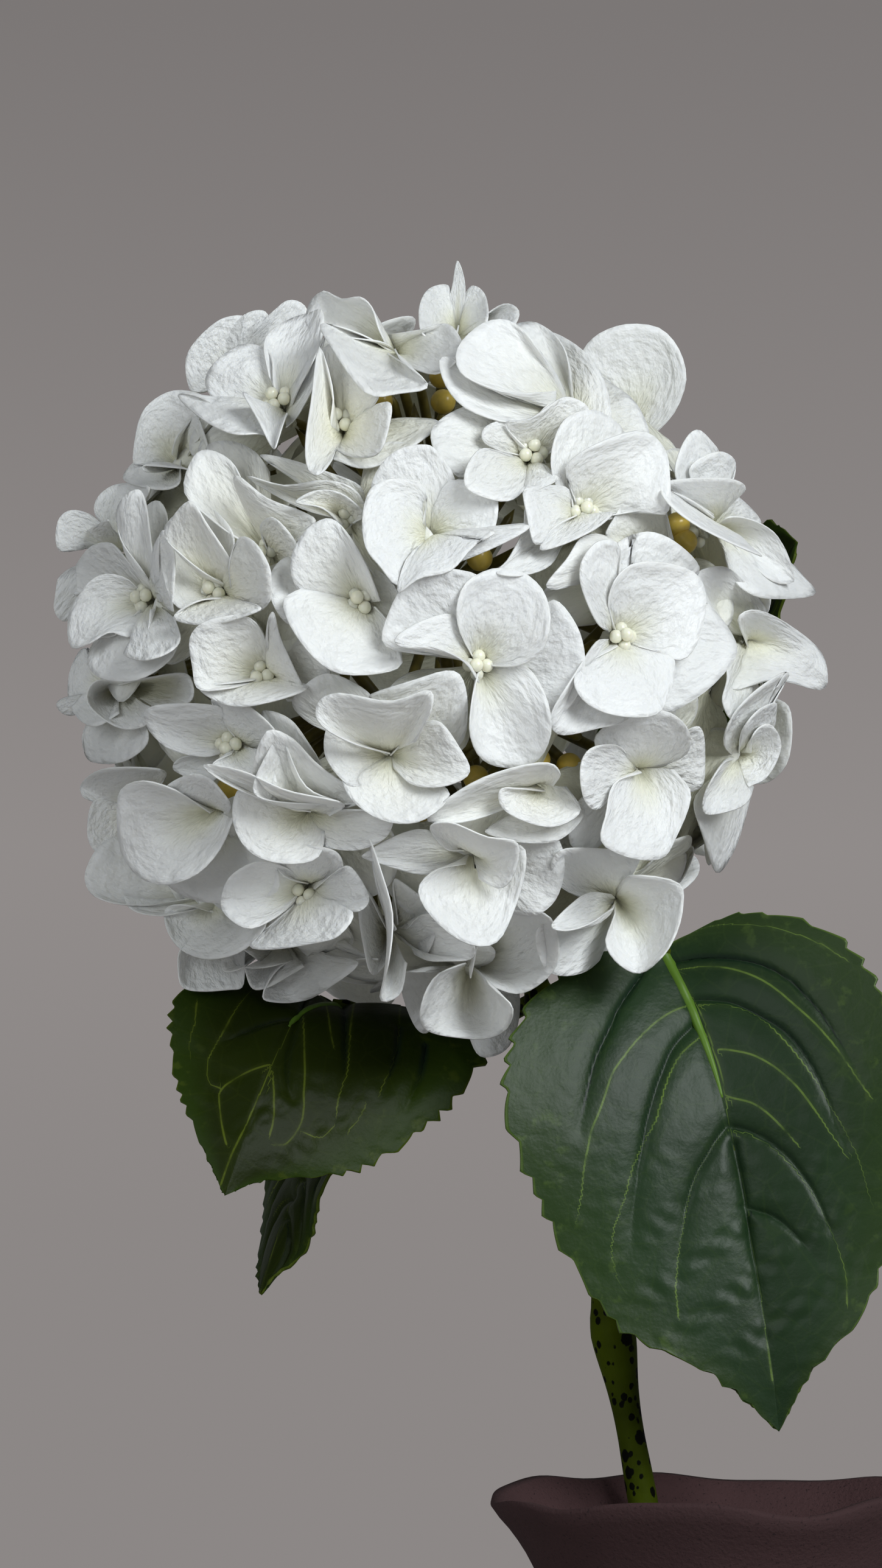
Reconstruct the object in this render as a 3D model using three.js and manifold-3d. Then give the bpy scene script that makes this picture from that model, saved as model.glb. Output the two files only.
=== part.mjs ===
// A single artificial hydrangea stem with one round white head and four leaves,
// standing in a flared stoneware vase. Millimetres, +Z up, +Y away from the viewer.
// The origin is the centre of the vase's foot, on the surface that it stands on.
import * as THREE from "three";
import { mergeVertices } from "three/addons/utils/BufferGeometryUtils.js";
import Module from "manifold-3d";

const wasm = await Module();
wasm.setup();

// ---- Driving dimensions ----
const VASE_HEIGHT = 190;
const RIM_RADIUS = 57.6;
const WALL = 3.6;
const LIP_WAVE = 0.9;
const FOOT_RADIUS = 43;
const BELLY_RADIUS = 56;
const WAIST_RADIUS = 42;
const STEM_RADIUS = 4.2;
const STEM_TOP_RADIUS = 3.2;
const HEAD_CENTRE = new THREE.Vector3(-71, 22, 398);
const BEAD_RADIUS = 82; // from the head's centre to the beads in the middle of each floret
const PETAL_REACH = 28; // from a floret's middle to the end of a petal
const PETAL_NOTCH = 18; // from a floret's middle to the meeting of two petals
const PETAL_THICKNESS = 1.3;
const PETAL_RISE = 8; // how far the petals' ends stand above a floret's middle
const PETAL_SWAY = 4;
const FLORET_COUNT = 63;
const PAIR_COUNT = 10; // florets at the back that share one forked stalk
const BUD_RADIUS = 3.1;
const BUD_DEPTH = 71; // from the head's centre to the unopened buds
const LEAF_THICKNESS = 1.6;
const PETIOLE_RADIUS = 1.9;
const GAP = 0.3; // left between pieces that touch

// ---- The picture's view, which places what is read off it ----
// A column and a row of the picture, with a depth behind the vase's axis, make one point.
const VIEW = {
  focal: 6000,
  middle: [724.5, 1288],
  distance: 900,
  across: -69.6,
  height: 255.5,
  pitch: THREE.MathUtils.degToRad(6.8),
};

// The bead cluster in the middle of each floret that faces the viewer: column and row.
const FACING = {
  top_left: [466, 672],
  top_inner: [563, 708],
  crown: [650, 575],
  upper_inner: [573, 856],
  upper_mid_left: [446, 915],
  left_inner: [364, 975],
  middle_left: [597, 990],
  left: [252, 988],
  crown_left: [372, 610],
  shoulder_left: [268, 745],
  far_left: [165, 890],
  peak: [752, 530],
  crown_right: [925, 655],
  upper_right_inner: [868, 756],
  upper_right: [948, 846],
  right_shoulder: [1171, 864],
  upper_middle: [705, 880],
  middle: [782, 1092],
  middle_right: [1010, 1048],
  right_inner: [1095, 935],
  lower_right: [1050, 1265],
  right: [1235, 1050],
  right_low: [1215, 1240],
  low_right: [1015, 1480],
  low_middle: [777, 1400],
  lower_inner: [880, 1290],
  mid_left: [440, 1108],
  left_low: [390, 1222],
  far_left_low: [352, 1332],
  far_left_rim: [215, 1335],
  low_left: [508, 1455],
  low_inner_left: [505, 1335],
  below_middle: [640, 1240],
  bottom_left: [330, 1505],
  left_edge: [190, 1130],
  bottom: [765, 1610],
  bottom_inner: [640, 1530],
  bottom_far_left: [430, 1600],
};

// Florets whose middles lie past the head's edge, on its far side.
const PAST_EDGE = {
  shoulder_right: [1040, 700],
  low_edge_right: [1120, 1420],
};

// Unopened buds that show between the florets.
const BUDS = {
  crown_a: [728, 660],
  crown_b: [725, 618],
  crown_c: [625, 660],
  centre: [788, 917],
  right_a: [1113, 862],
  right_b: [1125, 890],
  lower_a: [883, 1248],
  lower_b: [935, 1258],
  lower_c: [782, 1278],
  lower_d: [690, 1330],
  left: [377, 1295],
};

// The stem above the vase and the joints on it that the leaves grow from.
const STEM_LINE = [
  [1058, 2476, 33.5],
  [1000, 2150, 37],
  [948, 1870, 37],
  [885, 1630, 34],
  [800, 1400, 29],
];
const STEM_FOOT = new THREE.Vector3(12.5, 20, 6);
const JOINT_HEIGHTS = [231.5, 285, 311];
const JOINT_SWELL = 2;

// Leaves: column, row and depth of points along the midrib and along both edges.
const LEAVES = {
  leaf_right_front: {
    petiole: [[940, 1815, 31], [990, 1690, 22], [1086, 1556, 6]],
    midrib: [[1086, 1556, 6], [1150, 1690, 2], [1200, 1860, -2], [1262, 2200, -9], [1280, 2352, -14]],
    left: [[971, 1574, 1], [857, 1670, -7], [838, 1850, -12], [989, 2151, -15], [1175, 2262, -15]],
    right: [[1235, 1502, 3], [1400, 1560, -6], [1492, 1780, -14], [1440, 2110, -18], [1330, 2258, -16]],
  },
  leaf_left: {
    petiole: [[884, 1640, 34], [800, 1682, 46], [680, 1692, 46], [560, 1650, 32]],
    midrib: [[560, 1650, 32], [490, 1665, 16], [452, 1740, 4], [405, 1860, -4], [369, 1964, -8]],
    left: [[440, 1612, 26], [300, 1625, 12], [284, 1740, 4], [315, 1843, -2], [352, 1925, -6]],
    right: [[660, 1655, 36], [785, 1715, 26], [752, 1800, 14], [600, 1915, 4], [430, 1940, -4]],
  },
  leaf_left_hanging: {
    petiole: [[884, 1640, 38.5], [800, 1682, 56], [720, 1720, 62], [640, 1740, 60]],
    midrib: [[640, 1740, 60], [560, 1800, 58], [510, 1900, 54], [465, 2010, 50], [428, 2126, 46]],
    left: [[590, 1700, 92], [500, 1780, 96], [450, 1900, 86], [425, 2020, 70], [422, 2095, 54]],
    right: [[640, 1790, 34], [590, 1880, 30], [530, 1960, 34], [495, 2055, 40], [450, 2095, 44]],
  },
  leaf_back_right: {
    petiole: [[966, 1885, 41], [1010, 1640, 72], [1060, 1400, 98]],
    midrib: [[1060, 1400, 92], [1110, 1250, 108], [1180, 1100, 112], [1250, 980, 104], [1310, 890, 90]],
    left: [[980, 1330, 104], [980, 1180, 124], [1050, 1020, 132], [1150, 900, 118], [1262, 858, 98]],
    right: [[1160, 1420, 90], [1250, 1280, 96], [1310, 1150, 96], [1325, 1010, 90], [1322, 925, 86]],
  },
};

// ---- Materials ----
const finish = (color, roughness) => ({ color, roughness, metalness: 0 });
const STONEWARE = finish(0x63524f, 0.9);
const PETAL = finish(0xf1efe8, 0.55);
const LEAF = finish(0x26402a, 0.5);
const STEM = finish(0x4a5a2c, 0.55);
const PEDICEL = finish(0x8a8440, 0.5);

const object = new THREE.Group();

function addPiece(name, solid, look) {
  const mesh = solid.getMesh();
  const geometry = new THREE.BufferGeometry();
  geometry.setAttribute("position", new THREE.BufferAttribute(mesh.vertProperties, 3));
  geometry.setIndex(new THREE.BufferAttribute(mesh.triVerts, 1));
  geometry.computeVertexNormals();
  const piece = new THREE.Mesh(geometry, new THREE.MeshStandardMaterial(look));
  piece.name = name;
  object.add(piece);
}

// ---- Shapes ----

// One solid from a closed geometry: shared corners merged, flat triangles left out.
function solidOf(geometry) {
  geometry.deleteAttribute("normal");
  geometry.deleteAttribute("uv");
  const merged = mergeVertices(geometry, 1e-4);
  const corners = [];
  const index = merged.index.array;
  for (let i = 0; i < index.length; i += 3) {
    const [a, b, c] = index.slice(i, i + 3);
    if (a !== b && b !== c && c !== a) {
      corners.push(a, b, c);
    }
  }
  const shape = { numProp: 3, vertProperties: merged.attributes.position.array };
  const solid = new wasm.Manifold(new wasm.Mesh({ ...shape, triVerts: new Uint32Array(corners) }));
  if (solid.volume() > 0) {
    return solid;
  }
  corners.reverse();
  return new wasm.Manifold(new wasm.Mesh({ ...shape, triVerts: new Uint32Array(corners) }));
}

// A closed skin of rings between two poles, where place gives each of its points.
function skin(rings, around, place) {
  const profile = [];
  for (let ring = 0; ring <= rings; ring += 1) {
    const radius = ring === 0 || ring === rings ? 0 : 1;
    profile.push(new THREE.Vector2(radius, ring));
  }
  const lathe = new THREE.LatheGeometry(profile, around);
  const points = lathe.attributes.position;
  for (let step = 0; step <= around; step += 1) {
    const angle = (2 * Math.PI * (step % around)) / around;
    for (let ring = 0; ring <= rings; ring += 1) {
      const point = place(ring, angle);
      points.setXYZ(step * (rings + 1) + ring, point.x, point.y, point.z);
    }
  }
  return solidOf(lathe);
}

// Two directions at right angles to a third.
function across(direction) {
  const away = Math.abs(direction.z) < 0.9 ? new THREE.Vector3(0, 0, 1) : new THREE.Vector3(1, 0, 0);
  const side = new THREE.Vector3().crossVectors(direction, away).normalize();
  return [side, new THREE.Vector3().crossVectors(direction, side)];
}

// A round rod along a curve, of the radius that radiusAt gives from 0 to 1 of its length.
function rod(curve, steps, around, radiusAt) {
  const rings = steps + 2;
  return skin(rings, around, (ring, angle) => {
    const part = THREE.MathUtils.clamp((ring - 1) / steps, 0, 1);
    const point = curve.getPointAt(part);
    if (ring === 0 || ring === rings) {
      return point;
    }
    const [side, up] = across(curve.getTangentAt(part));
    const radius = radiusAt(part, point);
    point.addScaledVector(side, radius * Math.cos(angle));
    return point.addScaledVector(up, radius * Math.sin(angle));
  });
}

function straightRod(from, to, radius, around) {
  return rod(new THREE.LineCurve3(from, to), 1, around, () => radius);
}

function ball(centre, radius) {
  const sphere = new THREE.SphereGeometry(radius, 6, 4);
  return solidOf(sphere.translate(centre.x, centre.y, centre.z));
}

const joined = (solids) => solids.reduce((whole, solid) => whole.add(solid));
const smoothCurve = (points) => new THREE.CatmullRomCurve3(points, false, "centripetal");

// ---- From the picture to the object ----
function sightLine(column, row) {
  const right = (column - VIEW.middle[0]) / VIEW.focal;
  const up = (VIEW.middle[1] - row) / VIEW.focal;
  const [sin, cos] = [Math.sin(VIEW.pitch), Math.cos(VIEW.pitch)];
  return new THREE.Vector3(right, cos - up * sin, sin + up * cos);
}

const EYE = new THREE.Vector3(VIEW.across, -VIEW.distance, VIEW.height);

function atDepth([column, row, depth]) {
  const sight = sightLine(column, row);
  return EYE.clone().addScaledVector(sight, (depth + VIEW.distance) / sight.y);
}

// The direction from the head's centre to where a sight line meets a sphere about it,
// on its near or far side, or to where the line passes closest.
function onHead([column, row], radius, side) {
  const sight = sightLine(column, row).normalize();
  const toCentre = HEAD_CENTRE.clone().sub(EYE);
  const nearest = toCentre.dot(sight);
  const half = Math.sqrt(Math.max(radius ** 2 - toCentre.lengthSq() + nearest ** 2, 0));
  const point = EYE.clone().addScaledVector(sight, nearest + side * half);
  return point.sub(HEAD_CENTRE).normalize();
}

// ---- Vase ----
function vaseProfile() {
  const inner = (radius) => radius - WALL;
  return [
    [0, 0],
    [FOOT_RADIUS, 0],
    [FOOT_RADIUS + 2.5, 3],
    [50, 22],
    [54.5, 44],
    [BELLY_RADIUS, 66],
    [54, 88],
    [48.5, 112],
    [43.5, 134],
    [WAIST_RADIUS, 150],
    [44, 164],
    [49, 175.5],
    [54.5, 183],
    [RIM_RADIUS, 187.5],
    [RIM_RADIUS - 0.8, VASE_HEIGHT - 0.5],
    [RIM_RADIUS - 2.8, VASE_HEIGHT],
    [49.5, 183.5],
    [43, 174],
    [inner(WAIST_RADIUS), 150],
    [inner(44), 130],
    [inner(49), 110],
    [inner(BELLY_RADIUS), 66],
    [inner(50), 24],
    [FOOT_RADIUS - WALL, 8],
    [FOOT_RADIUS - 2 * WALL, 4.8],
    [0, 4.8],
  ];
}

// The lip rises and falls a little, as a hand-finished one does.
function lipWave(angle, height) {
  const share = THREE.MathUtils.smoothstep(height, 160, VASE_HEIGHT);
  return share * LIP_WAVE * (Math.sin(3 * angle + 0.6) + 0.6 * Math.sin(7 * angle + 1.9));
}

function buildVase() {
  const profile = vaseProfile();
  return skin(profile.length - 1, 36, (ring, angle) => {
    const [radius, height] = profile[ring];
    const z = height + lipWave(angle, height);
    return new THREE.Vector3(radius * Math.cos(angle), radius * Math.sin(angle), z);
  });
}

// ---- Stem ----
const stemCurve = smoothCurve([STEM_FOOT, ...STEM_LINE.map(atDepth)]);
const stemTop = stemCurve.getPoint(1);

function buildStem(extra) {
  return rod(stemCurve, 16, 10, (part, point) => {
    const taper = THREE.MathUtils.lerp(STEM_RADIUS, STEM_TOP_RADIUS, part);
    const swell = JOINT_HEIGHTS.reduce((sum, z) => sum + Math.exp(-(((point.z - z) / 6) ** 2)), 0);
    return taper + JOINT_SWELL * swell + extra;
  });
}

// ---- Leaves ----

// A blade between two edges, a petiole behind it, and room left for the stem.
function buildLeaf(lines, stemRoom) {
  const [rings, around] = [10, 8];
  const midrib = smoothCurve(lines.midrib.map(atDepth));
  const [base, tip] = [lines.midrib[0], lines.midrib.at(-1)];
  const edge = (points) => smoothCurve([base, ...points, tip].map(atDepth));
  const edges = [edge(lines.left), edge(lines.right)];
  const blade = skin(rings, around, (ring, angle) => {
    const part = ring / rings;
    const middle = midrib.getPointAt(part);
    if (ring === 0 || ring === rings) {
      return middle;
    }
    const reach = Math.cos(angle);
    const side = edges[reach < 0 ? 0 : 1].getPointAt(part);
    const offset = side.clone().sub(middle);
    const facing = new THREE.Vector3().crossVectors(
      edges[1].getPointAt(part).sub(edges[0].getPointAt(part)),
      midrib.getTangentAt(part),
    ).normalize();
    middle.addScaledVector(offset, Math.abs(reach));
    return middle.addScaledVector(facing, (LEAF_THICKNESS / 2) * Math.sin(angle));
  });
  const path = lines.petiole.map(atDepth);
  path.push(midrib.getPointAt(0.12));
  const petiole = rod(smoothCurve(path), 6, 6, () => PETIOLE_RADIUS);
  return blade.add(petiole).subtract(stemRoom);
}

// ---- Where the florets sit on the head ----
const CLEAR_OF_STEM = stemCurve.getPoint(0.93).sub(HEAD_CENTRE).normalize();

// Spreads the florets that the picture hides evenly over the rest of the head.
function spreadHidden(seen, count) {
  const kept = [...seen, CLEAR_OF_STEM];
  const free = [];
  const turn = Math.PI * (3 - Math.sqrt(5));
  for (let i = 0; i < count; i += 1) {
    const lean = 1 - (1.6 * (i + 0.5)) / count;
    const side = Math.sqrt(1 - lean ** 2);
    const point = new THREE.Vector3(side * Math.cos(turn * i), 0, side * Math.sin(turn * i));
    free.push(point.setY(lean).normalize());
  }
  for (let round = 0; round < 150; round += 1) {
    for (const point of free) {
      const push = new THREE.Vector3();
      for (const other of [...kept, ...free]) {
        const away = point.clone().sub(other);
        const distance = away.length();
        if (distance > 0 && distance < 1) {
          push.addScaledVector(away, (0.5 / distance) ** 4 / distance);
        }
      }
      point.addScaledVector(push.clampLength(0, 1), 0.04).normalize();
    }
  }
  return free;
}

const seenFlorets = [
  ...Object.entries(FACING).map(([name, place]) => [name, onHead(place, BEAD_RADIUS, -1)]),
  ...Object.entries(PAST_EDGE).map(([name, place]) => [name, onHead(place, BEAD_RADIUS, 1)]),
];
const hiddenFlorets = spreadHidden(
  seenFlorets.map(([, direction]) => direction),
  FLORET_COUNT - seenFlorets.length,
);
const budDirections = Object.values(BUDS).map((place) => onHead(place, BUD_DEPTH, -1));

const onDirection = (direction, radius) => HEAD_CENTRE.clone().addScaledVector(direction, radius);

const floretPlaces = [
  ...seenFlorets.map(([, direction]) => direction),
  ...hiddenFlorets,
].map((direction) => onDirection(direction, BEAD_RADIUS));

// ---- Florets ----

// The top of each blade, which the petals near it leave room for.
const leafPosts = Object.values(LEAVES).flatMap(({ midrib, left, right }) => {
  return [midrib[0], left[0], right[0]].map((place) => [atDepth(place), PETIOLE_RADIUS]);
});

// How much of an arm from a floret's middle stays on its own side of its neighbours,
// the buds and the stem.
function clearShare(centre, arm) {
  const room = GAP + PETAL_THICKNESS;
  let share = 1;
  const limit = (towards, distance) => {
    const along = arm.dot(towards);
    if (along > 0) {
      share = Math.min(share, distance / along);
    }
  };
  for (const other of floretPlaces) {
    const towards = other.clone().sub(centre);
    const distance = towards.length();
    if (distance > 0) {
      limit(towards.divideScalar(distance), distance / 2 - room);
    }
  }
  const posts = budDirections.map((direction) => [onDirection(direction, BUD_DEPTH), BUD_RADIUS]);
  posts.push([onDirection(CLEAR_OF_STEM, BEAD_RADIUS), STEM_RADIUS + 1]);
  posts.push(...leafPosts);
  for (const [post, radius] of posts) {
    const towards = post.clone().sub(centre);
    const distance = towards.length();
    limit(towards.divideScalar(distance), Math.max(distance - radius - room, 2.5));
  }
  return share;
}

// One floret: four petals in a shallow cup about a cap of beads, over a short calyx.
const CALYX_DEPTH = 5.5;

function buildFloret(centre, order) {
  const outward = centre.clone().sub(HEAD_CENTRE).normalize();
  const [side, up] = across(outward);
  const roll = order * 1.1;
  const inFloret = (angle, radius, height) => {
    const arm = side.clone().multiplyScalar(radius * Math.cos(angle + roll));
    arm.addScaledVector(up, radius * Math.sin(angle + roll));
    return arm.addScaledVector(outward, height);
  };
  return skin(5, 16, (ring, angle) => {
    const lobe = Math.abs(Math.sin(2 * angle)) ** 0.7;
    const rise = PETAL_RISE + PETAL_SWAY * Math.cos(2 * angle + order);
    const reach = THREE.MathUtils.lerp(PETAL_NOTCH, PETAL_REACH, lobe);
    const rim = inFloret(angle, reach, rise);
    rim.multiplyScalar(clearShare(centre, rim));
    const collar = inFloret(angle, 2, -2);
    const rings = [
      () => inFloret(0, 0, 2.4),
      () => inFloret(angle, 3.4, 1.2),
      () => collar.clone().lerp(rim, 0.62).addScaledVector(outward, PETAL_THICKNESS),
      () => rim,
      () => collar,
      () => inFloret(0, 0, -CALYX_DEPTH),
    ];
    return rings[ring]().add(centre);
  });
}

// ---- The branching stalks inside the head ----
const BRANCH_REACH = 34;
const BRANCH_RADIUS = 1.5;
const STALK_RADIUS = 0.9;
const FORK_DEPTH = 62;

// The ends of the main branches: one in the middle, the rest around it.
function branchEnds() {
  const ends = [HEAD_CENTRE.clone()];
  for (let i = 0; i < 8; i += 1) {
    const angle = (Math.PI * i) / 4;
    const lift = i % 2 === 0 ? 0.35 : -0.55;
    const direction = new THREE.Vector3(Math.cos(angle), Math.sin(angle), lift).normalize();
    ends.push(onDirection(direction, BRANCH_REACH));
  }
  ends.push(onDirection(new THREE.Vector3(0, 0, 1), BRANCH_REACH));
  return ends;
}

function nearestTo(point, places) {
  const gaps = places.map((place) => place.distanceTo(point));
  return places[gaps.indexOf(Math.min(...gaps))];
}

function buildUmbel(stalkEnds) {
  const root = stemTop.clone().addScaledVector(stemCurve.getTangent(1), STEM_TOP_RADIUS + GAP + 1);
  const ends = branchEnds();
  const pieces = [ball(root, STEM_TOP_RADIUS + 1)];
  for (const end of ends) {
    pieces.push(straightRod(root, end, BRANCH_RADIUS, 4), ball(end, BRANCH_RADIUS + 0.4));
  }
  for (const stalkEnd of stalkEnds) {
    pieces.push(straightRod(nearestTo(stalkEnd, ends), stalkEnd, STALK_RADIUS, 3));
  }
  for (const direction of budDirections) {
    const bud = onDirection(direction, BUD_DEPTH);
    pieces.push(straightRod(nearestTo(bud, ends), bud, STALK_RADIUS, 3), ball(bud, BUD_RADIUS));
  }
  return joined(pieces);
}

// Pairs each of the first florets in a list with its nearest neighbour, then leaves the rest.
function grouped(orders, pairs) {
  const left = [...orders];
  const groups = [];
  while (left.length > 0) {
    const first = left.shift();
    if (groups.length >= pairs) {
      groups.push([first]);
      continue;
    }
    const place = floretPlaces[first];
    left.sort((a, b) => floretPlaces[a].distanceTo(place) - floretPlaces[b].distanceTo(place));
    groups.push([first, left.shift()]);
  }
  return groups;
}

// ---- The object ----
addPiece("vase", buildVase(), STONEWARE);
addPiece("stem", buildStem(0), STEM);
for (const [name, lines] of Object.entries(LEAVES)) {
  addPiece(name, buildLeaf(lines, buildStem(GAP)), LEAF);
}

const stalkEnds = [];
const belowFloret = (centre, depth) => onDirection(centre.clone().sub(HEAD_CENTRE).normalize(), depth);

function addFloret(name, order) {
  const centre = floretPlaces[order];
  stalkEnds.push(belowFloret(centre, BEAD_RADIUS - CALYX_DEPTH - GAP));
  addPiece(name, buildFloret(centre, order), PETAL);
}

function addForkedFlorets(name, [first, second]) {
  const centres = [floretPlaces[first], floretPlaces[second]];
  const middle = centres[0].clone().add(centres[1]).divideScalar(2);
  const fork = belowFloret(middle, FORK_DEPTH);
  stalkEnds.push(belowFloret(middle, FORK_DEPTH - 1.5 * STALK_RADIUS - GAP));
  const stalks = centres.map((centre) => {
    return straightRod(fork, belowFloret(centre, BEAD_RADIUS - 2), STALK_RADIUS, 4);
  });
  const florets = [buildFloret(centres[0], first), buildFloret(centres[1], second)];
  addPiece(name, joined([...florets, ...stalks, ball(fork, 1.5 * STALK_RADIUS)]), PETAL);
}

seenFlorets.forEach(([name], order) => addFloret(`floret_${name}`, order));
const hiddenOrders = hiddenFlorets.map((_, i) => seenFlorets.length + i);
grouped(hiddenOrders, PAIR_COUNT).forEach((group, i) => {
  const number = String(i + 1).padStart(2, "0");
  if (group.length === 1) {
    addFloret(`floret_back_${number}`, group[0]);
  } else {
    addForkedFlorets(`floret_back_pair_${number}`, group);
  }
});
addPiece("umbel", buildUmbel(stalkEnds), PEDICEL);

export default object;
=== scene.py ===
"""One artificial hydrangea stem in a stoneware vase, laid out as an add-on and run as a script."""

import math

import bpy
import numpy as np
from bpy.props import FloatProperty, FloatVectorProperty, IntProperty, PointerProperty
from bpy.types import Operator, Panel, PropertyGroup
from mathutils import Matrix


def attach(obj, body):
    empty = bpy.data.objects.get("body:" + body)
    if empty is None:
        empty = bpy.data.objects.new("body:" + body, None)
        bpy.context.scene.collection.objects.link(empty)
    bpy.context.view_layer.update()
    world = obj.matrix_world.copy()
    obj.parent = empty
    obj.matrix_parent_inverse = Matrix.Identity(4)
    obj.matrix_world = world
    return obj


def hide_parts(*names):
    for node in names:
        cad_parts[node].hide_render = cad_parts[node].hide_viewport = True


bl_info = {
    "name": "Hydrangea in a vase",
    "version": (1, 0, 0),
    "blender": (4, 5, 0),
    "location": "3D View > Sidebar > Hydrangea",
    "description": "Models a white hydrangea head, its leaves, stem and vase around their solids",
    "category": "Object",
}

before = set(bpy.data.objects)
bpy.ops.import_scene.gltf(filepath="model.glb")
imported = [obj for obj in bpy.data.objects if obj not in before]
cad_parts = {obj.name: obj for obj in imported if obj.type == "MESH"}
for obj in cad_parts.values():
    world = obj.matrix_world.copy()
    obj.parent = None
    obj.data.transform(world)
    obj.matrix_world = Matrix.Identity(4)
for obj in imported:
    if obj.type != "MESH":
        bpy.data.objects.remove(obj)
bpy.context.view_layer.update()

MM = 0.001

# ----- Sizes in millimetres, with +Z up, +Y away from the viewer and the origin at the vase's foot -----

# The head: its middle, how far from it the caps of beads and the buds lie, all its florets, and how
# many pairs of them share a forked stalk.
HEAD_CENTRE = np.array([-71.0, 22.0, 398.0])
BEAD_RADIUS = 82.0
BUD_DEPTH = 71.0
FLORET_COUNT = 63
PAIR_COUNT = 10

# The picture's view: a column, a row and a depth make one point. The picture's size, its middle and
# the focal length are in pixels.
PICTURE = (1449, 2576)
MIDDLE = (PICTURE[0] / 2, PICTURE[1] / 2)
FOCAL = 6000.0
EYE = np.array([-69.6, -900.0, 255.5])
PITCH = math.radians(6.8)

# The stem: its foot, then the column, row and depth of points up its middle, and its joints' heights.
STEM_FOOT = (12.5, 20.0, 6.0)
STEM_LINE = ((1058, 2476, 33.5), (1000, 2150, 37), (948, 1870, 37), (885, 1630, 34), (800, 1400, 29))
JOINT_HEIGHTS = (231.5, 285.0, 311.0)

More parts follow.
